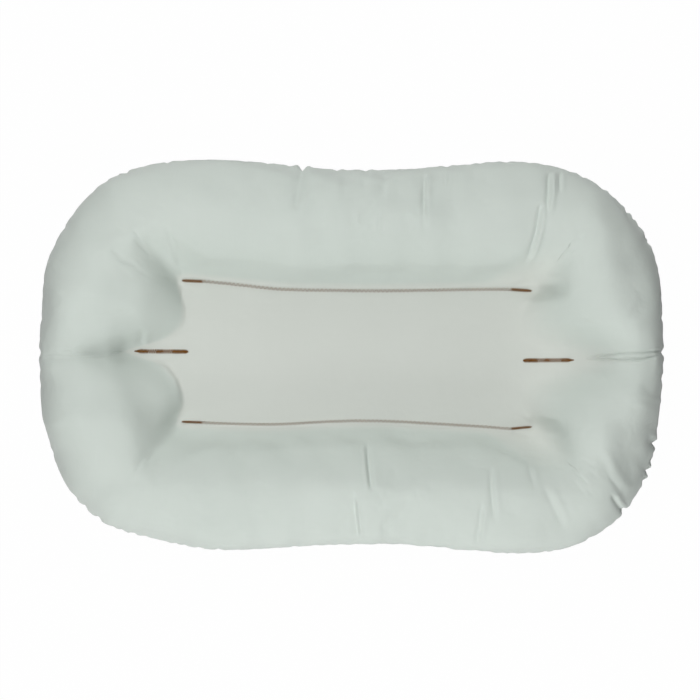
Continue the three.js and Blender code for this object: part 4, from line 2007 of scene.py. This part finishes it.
@dataclass(frozen=True)
class OverlockedEdge(Finish):
    """Raw cotton edges wrapped in pale overlock thread."""

    name: str = "overlocked_edge"
    colour: Triple = (0.52, 0.56, 0.52)
    shade: Triple = (0.66, 0.68, 0.63)
    roughness: float = 0.95
    sheen: float = 0.1
    relief: float = 0.0003
    threads_per_metre: float = 420
    crease_share: float = 0.5

    def build(self, wrinkles: NodeTree) -> Material:
        """Makes the material from the shared wrinkles and bands of thread."""
        made, nodes = self.material()
        solid = nodes.object_place()
        inputs = {"Vector": solid, "Scale": self.threads_per_metre / 2, "Distortion": 1.5, "Detail": 1.0}
        bands = nodes.add("ShaderNodeTexWave", inputs).outputs[1]
        creases = nodes.effect(wrinkles, solid)["Height"]
        height = nodes.math("MULTIPLY_ADD", creases, self.crease_share, bands)
        relief = nodes.bump(height, 0.8, self.relief)
        self.dress(nodes, {"Base Color": self.tinted(nodes, bands), "Normal": relief})
        return made


@dataclass(frozen=True)
class FibreFilling(Finish):
    """Loose off-white polyester fibre."""

    name: str = "fibre_filling"
    colour: Triple = (0.86, 0.85, 0.81)
    shade: Triple = (0.72, 0.71, 0.67)
    roughness: float = 0.98
    sheen: float = 0.3
    relief: float = 0.0012
    fibre_share: float = 0.6
    clump_share: float = 0.3

    def build(self, wrinkles: NodeTree) -> Material:
        """Makes the material: tangled fibres over soft clumps."""
        made, nodes = self.material()
        solid = nodes.object_place()
        clumps = nodes.noise(solid, 60.0, detail=3.0, roughness=0.6)
        fibres = nodes.noise(nodes.stretched(solid, (1.0, 5.0, 5.0)), 260.0, detail=4.0, roughness=0.7)
        crests = nodes.effect(wrinkles, solid)["Crests"]
        pale = nodes.math("MULTIPLY", clumps, self.clump_share)
        factor = nodes.math("MULTIPLY_ADD", fibres, self.fibre_share, pale)
        raised = nodes.math("MULTIPLY_ADD", fibres, self.fibre_share, clumps)
        relief = nodes.bump(nodes.math("ADD", raised, crests), 0.9, self.relief)
        self.dress(nodes, {"Base Color": self.tinted(nodes, factor), "Normal": relief})
        return made


@dataclass(frozen=True)
class SewingThread(Finish):
    """Tan brown sewing thread with a low sheen."""

    name: str = "brown_thread"
    colour: Triple = (0.235, 0.088, 0.005)
    shade: Triple = (0.078, 0.029, 0.002)
    roughness: float = 0.75
    sheen: float = 0.02
    relief: float = 0.00006
    fibre_scale: float = 5200.0
    drift_scale: float = 320.0

    def build(self) -> Material:
        """Makes the material: fine fibres and a slow drift of tone."""
        made, nodes = self.material()
        solid = nodes.object_place()
        fibres = nodes.noise(solid, self.fibre_scale)
        drift = nodes.noise(solid, self.drift_scale)
        factor = nodes.math("MULTIPLY_ADD", fibres, 0.5, nodes.math("MULTIPLY", drift, 0.5))
        relief = nodes.bump(fibres, 0.6, self.relief)
        self.dress(nodes, {"Base Color": self.tinted(nodes, factor), "Normal": relief})
        return made


# Studio


@dataclass(frozen=True)
class Lamp:
    """A square soft lamp that faces the lounger, placed by its direction and distance."""

    name: str
    azimuth: float
    elevation: float
    power: float
    distance: float = 2.4
    size: float = 1.2

    def build(self) -> None:
        """Makes the lamp."""
        azimuth, elevation = math.radians(self.azimuth), math.radians(self.elevation)
        level = math.cos(elevation)
        towards = Vector((math.cos(azimuth) * level, math.sin(azimuth) * level, math.sin(elevation)))
        light = bpy.data.lights.new(self.name, "AREA")
        light.energy = self.power
        light.size = self.size
        lamp = linked(self.name, light)
        lamp.location = towards * self.distance
        lamp.rotation_euler = (-towards).to_track_quat("-Z", "Y").to_euler()


@dataclass
class Studio:
    """A white floor, soft lamps and the camera straight above."""

    view: PhotoView
    floor_size: float = 12
    floor_glow: float = 0.985
    world_strength: float = 0.02
    lamps: tuple[Lamp, ...] = (
        Lamp("overhead", 0, 90, 20.0, distance=2.8, size=0.5),
        Lamp("head_high", 180, 74, 22.8),
        Lamp("far_high", 90, 38, 12.7),
        Lamp("far_low", 90, 20, 13.4),
        Lamp("near_high", 270, 38, 8.0),
        Lamp("near_low", 270, 20, 28.0),
    )

    def build(self) -> None:
        """Makes the stage, the lamps, the world and the camera."""
        self.floor()
        self.world()
        for lamp in self.lamps:
            lamp.build()
        self.camera()
        bpy.context.scene.view_settings.view_transform = "Standard"

    def floor(self) -> None:
        """A white floor that keeps the object's shadow."""
        half = self.floor_size / 2
        mesh = bpy.data.meshes.new("floor")
        corners = [(-half, -half, 0), (half, -half, 0), (half, half, 0), (-half, half, 0)]
        mesh.from_pydata(corners, [], [(0, 1, 2, 3)])
        floor = linked("floor", mesh)
        made = bpy.data.materials.new("white_floor")
        made.use_nodes = True
        nodes = ShaderNodes(made.node_tree)
        shader = made.node_tree.nodes["Principled BSDF"]
        shader.inputs["Base Color"].default_value = (0.55, 0.55, 0.55, 1)
        shader.inputs["Roughness"].default_value = 0.9
        output = made.node_tree.nodes["Material Output"]
        path = nodes.add("ShaderNodeLightPath").outputs
        seen = nodes.math("MAXIMUM", path["Is Camera Ray"], path["Is Glossy Ray"])
        seen = nodes.math("MAXIMUM", seen, path["Is Transmission Ray"])
        glow = nodes.add("ShaderNodeEmission", {"Color": (1, 1, 1, 1), "Strength": 1.0})
        share = nodes.math("MULTIPLY", seen, self.floor_glow)
        mix = nodes.add("ShaderNodeMixShader", {0: share, 1: shader.outputs[0], 2: glow.outputs[0]})
        made.node_tree.links.new(mix.outputs[0], output.inputs["Surface"])
        mesh.materials.append(made)

    def world(self) -> None:
        """Plain white surroundings."""
        world = bpy.data.worlds.new("studio")
        world.use_nodes = True
        background = world.node_tree.nodes["Background"]
        nodes = ShaderNodes(world.node_tree)
        background.inputs["Color"].default_value = (1, 1, 1, 1)
        background.inputs["Strength"].default_value = self.world_strength
        seen = nodes.add("ShaderNodeLightPath").outputs["Is Camera Ray"]
        white = nodes.add("ShaderNodeBackground", {"Color": (1, 1, 1, 1), "Strength": 1.0})
        mix = nodes.add("ShaderNodeMixShader", {0: seen, 1: background.outputs[0], 2: white.outputs[0]})
        world.node_tree.links.new(mix.outputs[0], world.node_tree.nodes["World Output"].inputs["Surface"])
        bpy.context.scene.world = world

    def camera(self) -> None:
        """The camera of the photograph, straight above."""
        data = bpy.data.cameras.new("camera")
        data.lens = self.view.lens
        data.sensor_width = self.view.sensor
        camera = linked("camera", data)
        camera.location = self.view.eye()
        bpy.context.scene.camera = camera


def main() -> None:
    """Builds the studio and every piece of the lounger in order."""
    logging.basicConfig(level=logging.INFO, format="%(message)s")
    view = PhotoView()
    Studio(view).build()
    weave, wrinkles = weave_group(), wrinkle_group()
    cotton = WashedCotton().build(weave, wrinkles)
    plan = RingPlan.from_panels()
    rows = RowPlan.from_threads()
    ring = StuffedRing(plan, rows)
    top_cloth, bottom_cloth = ring.simulated()
    LOG.info("ring cloth: %d stations", ring.columns)
    shares = StationPlaces(plan, view).shares()
    gathers = Gathers(notches=SEAM_NOTCHES)
    covers = {
        Face.TOP: Cover(Face.TOP, plan, rows, top_cloth, shares, view, gathers=gathers),
        Face.BOTTOM: Cover(Face.BOTTOM, plan, rows, bottom_cloth, shares, view, gathers=gathers),
    }
    for face, name, node in (
        (Face.TOP, "top_cover", "top_panel"),
        (Face.BOTTOM, "bottom_cover", "bottom_panel"),
    ):
        piece = covers[face].build(name, node, cotton)
        LOG.info("%s: %d faces", piece.name, len(piece.data.polygons))
    TurnedInEdges(covers[Face.TOP], OverlockedEdge().build(wrinkles)).build()
    FillingBatts(covers[Face.TOP], covers[Face.BOTTOM], FibreFilling().build(wrinkles)).build()
    SewnRows(plan, rows, SewingThread().build()).build()


if __name__ == "__main__":
    main()
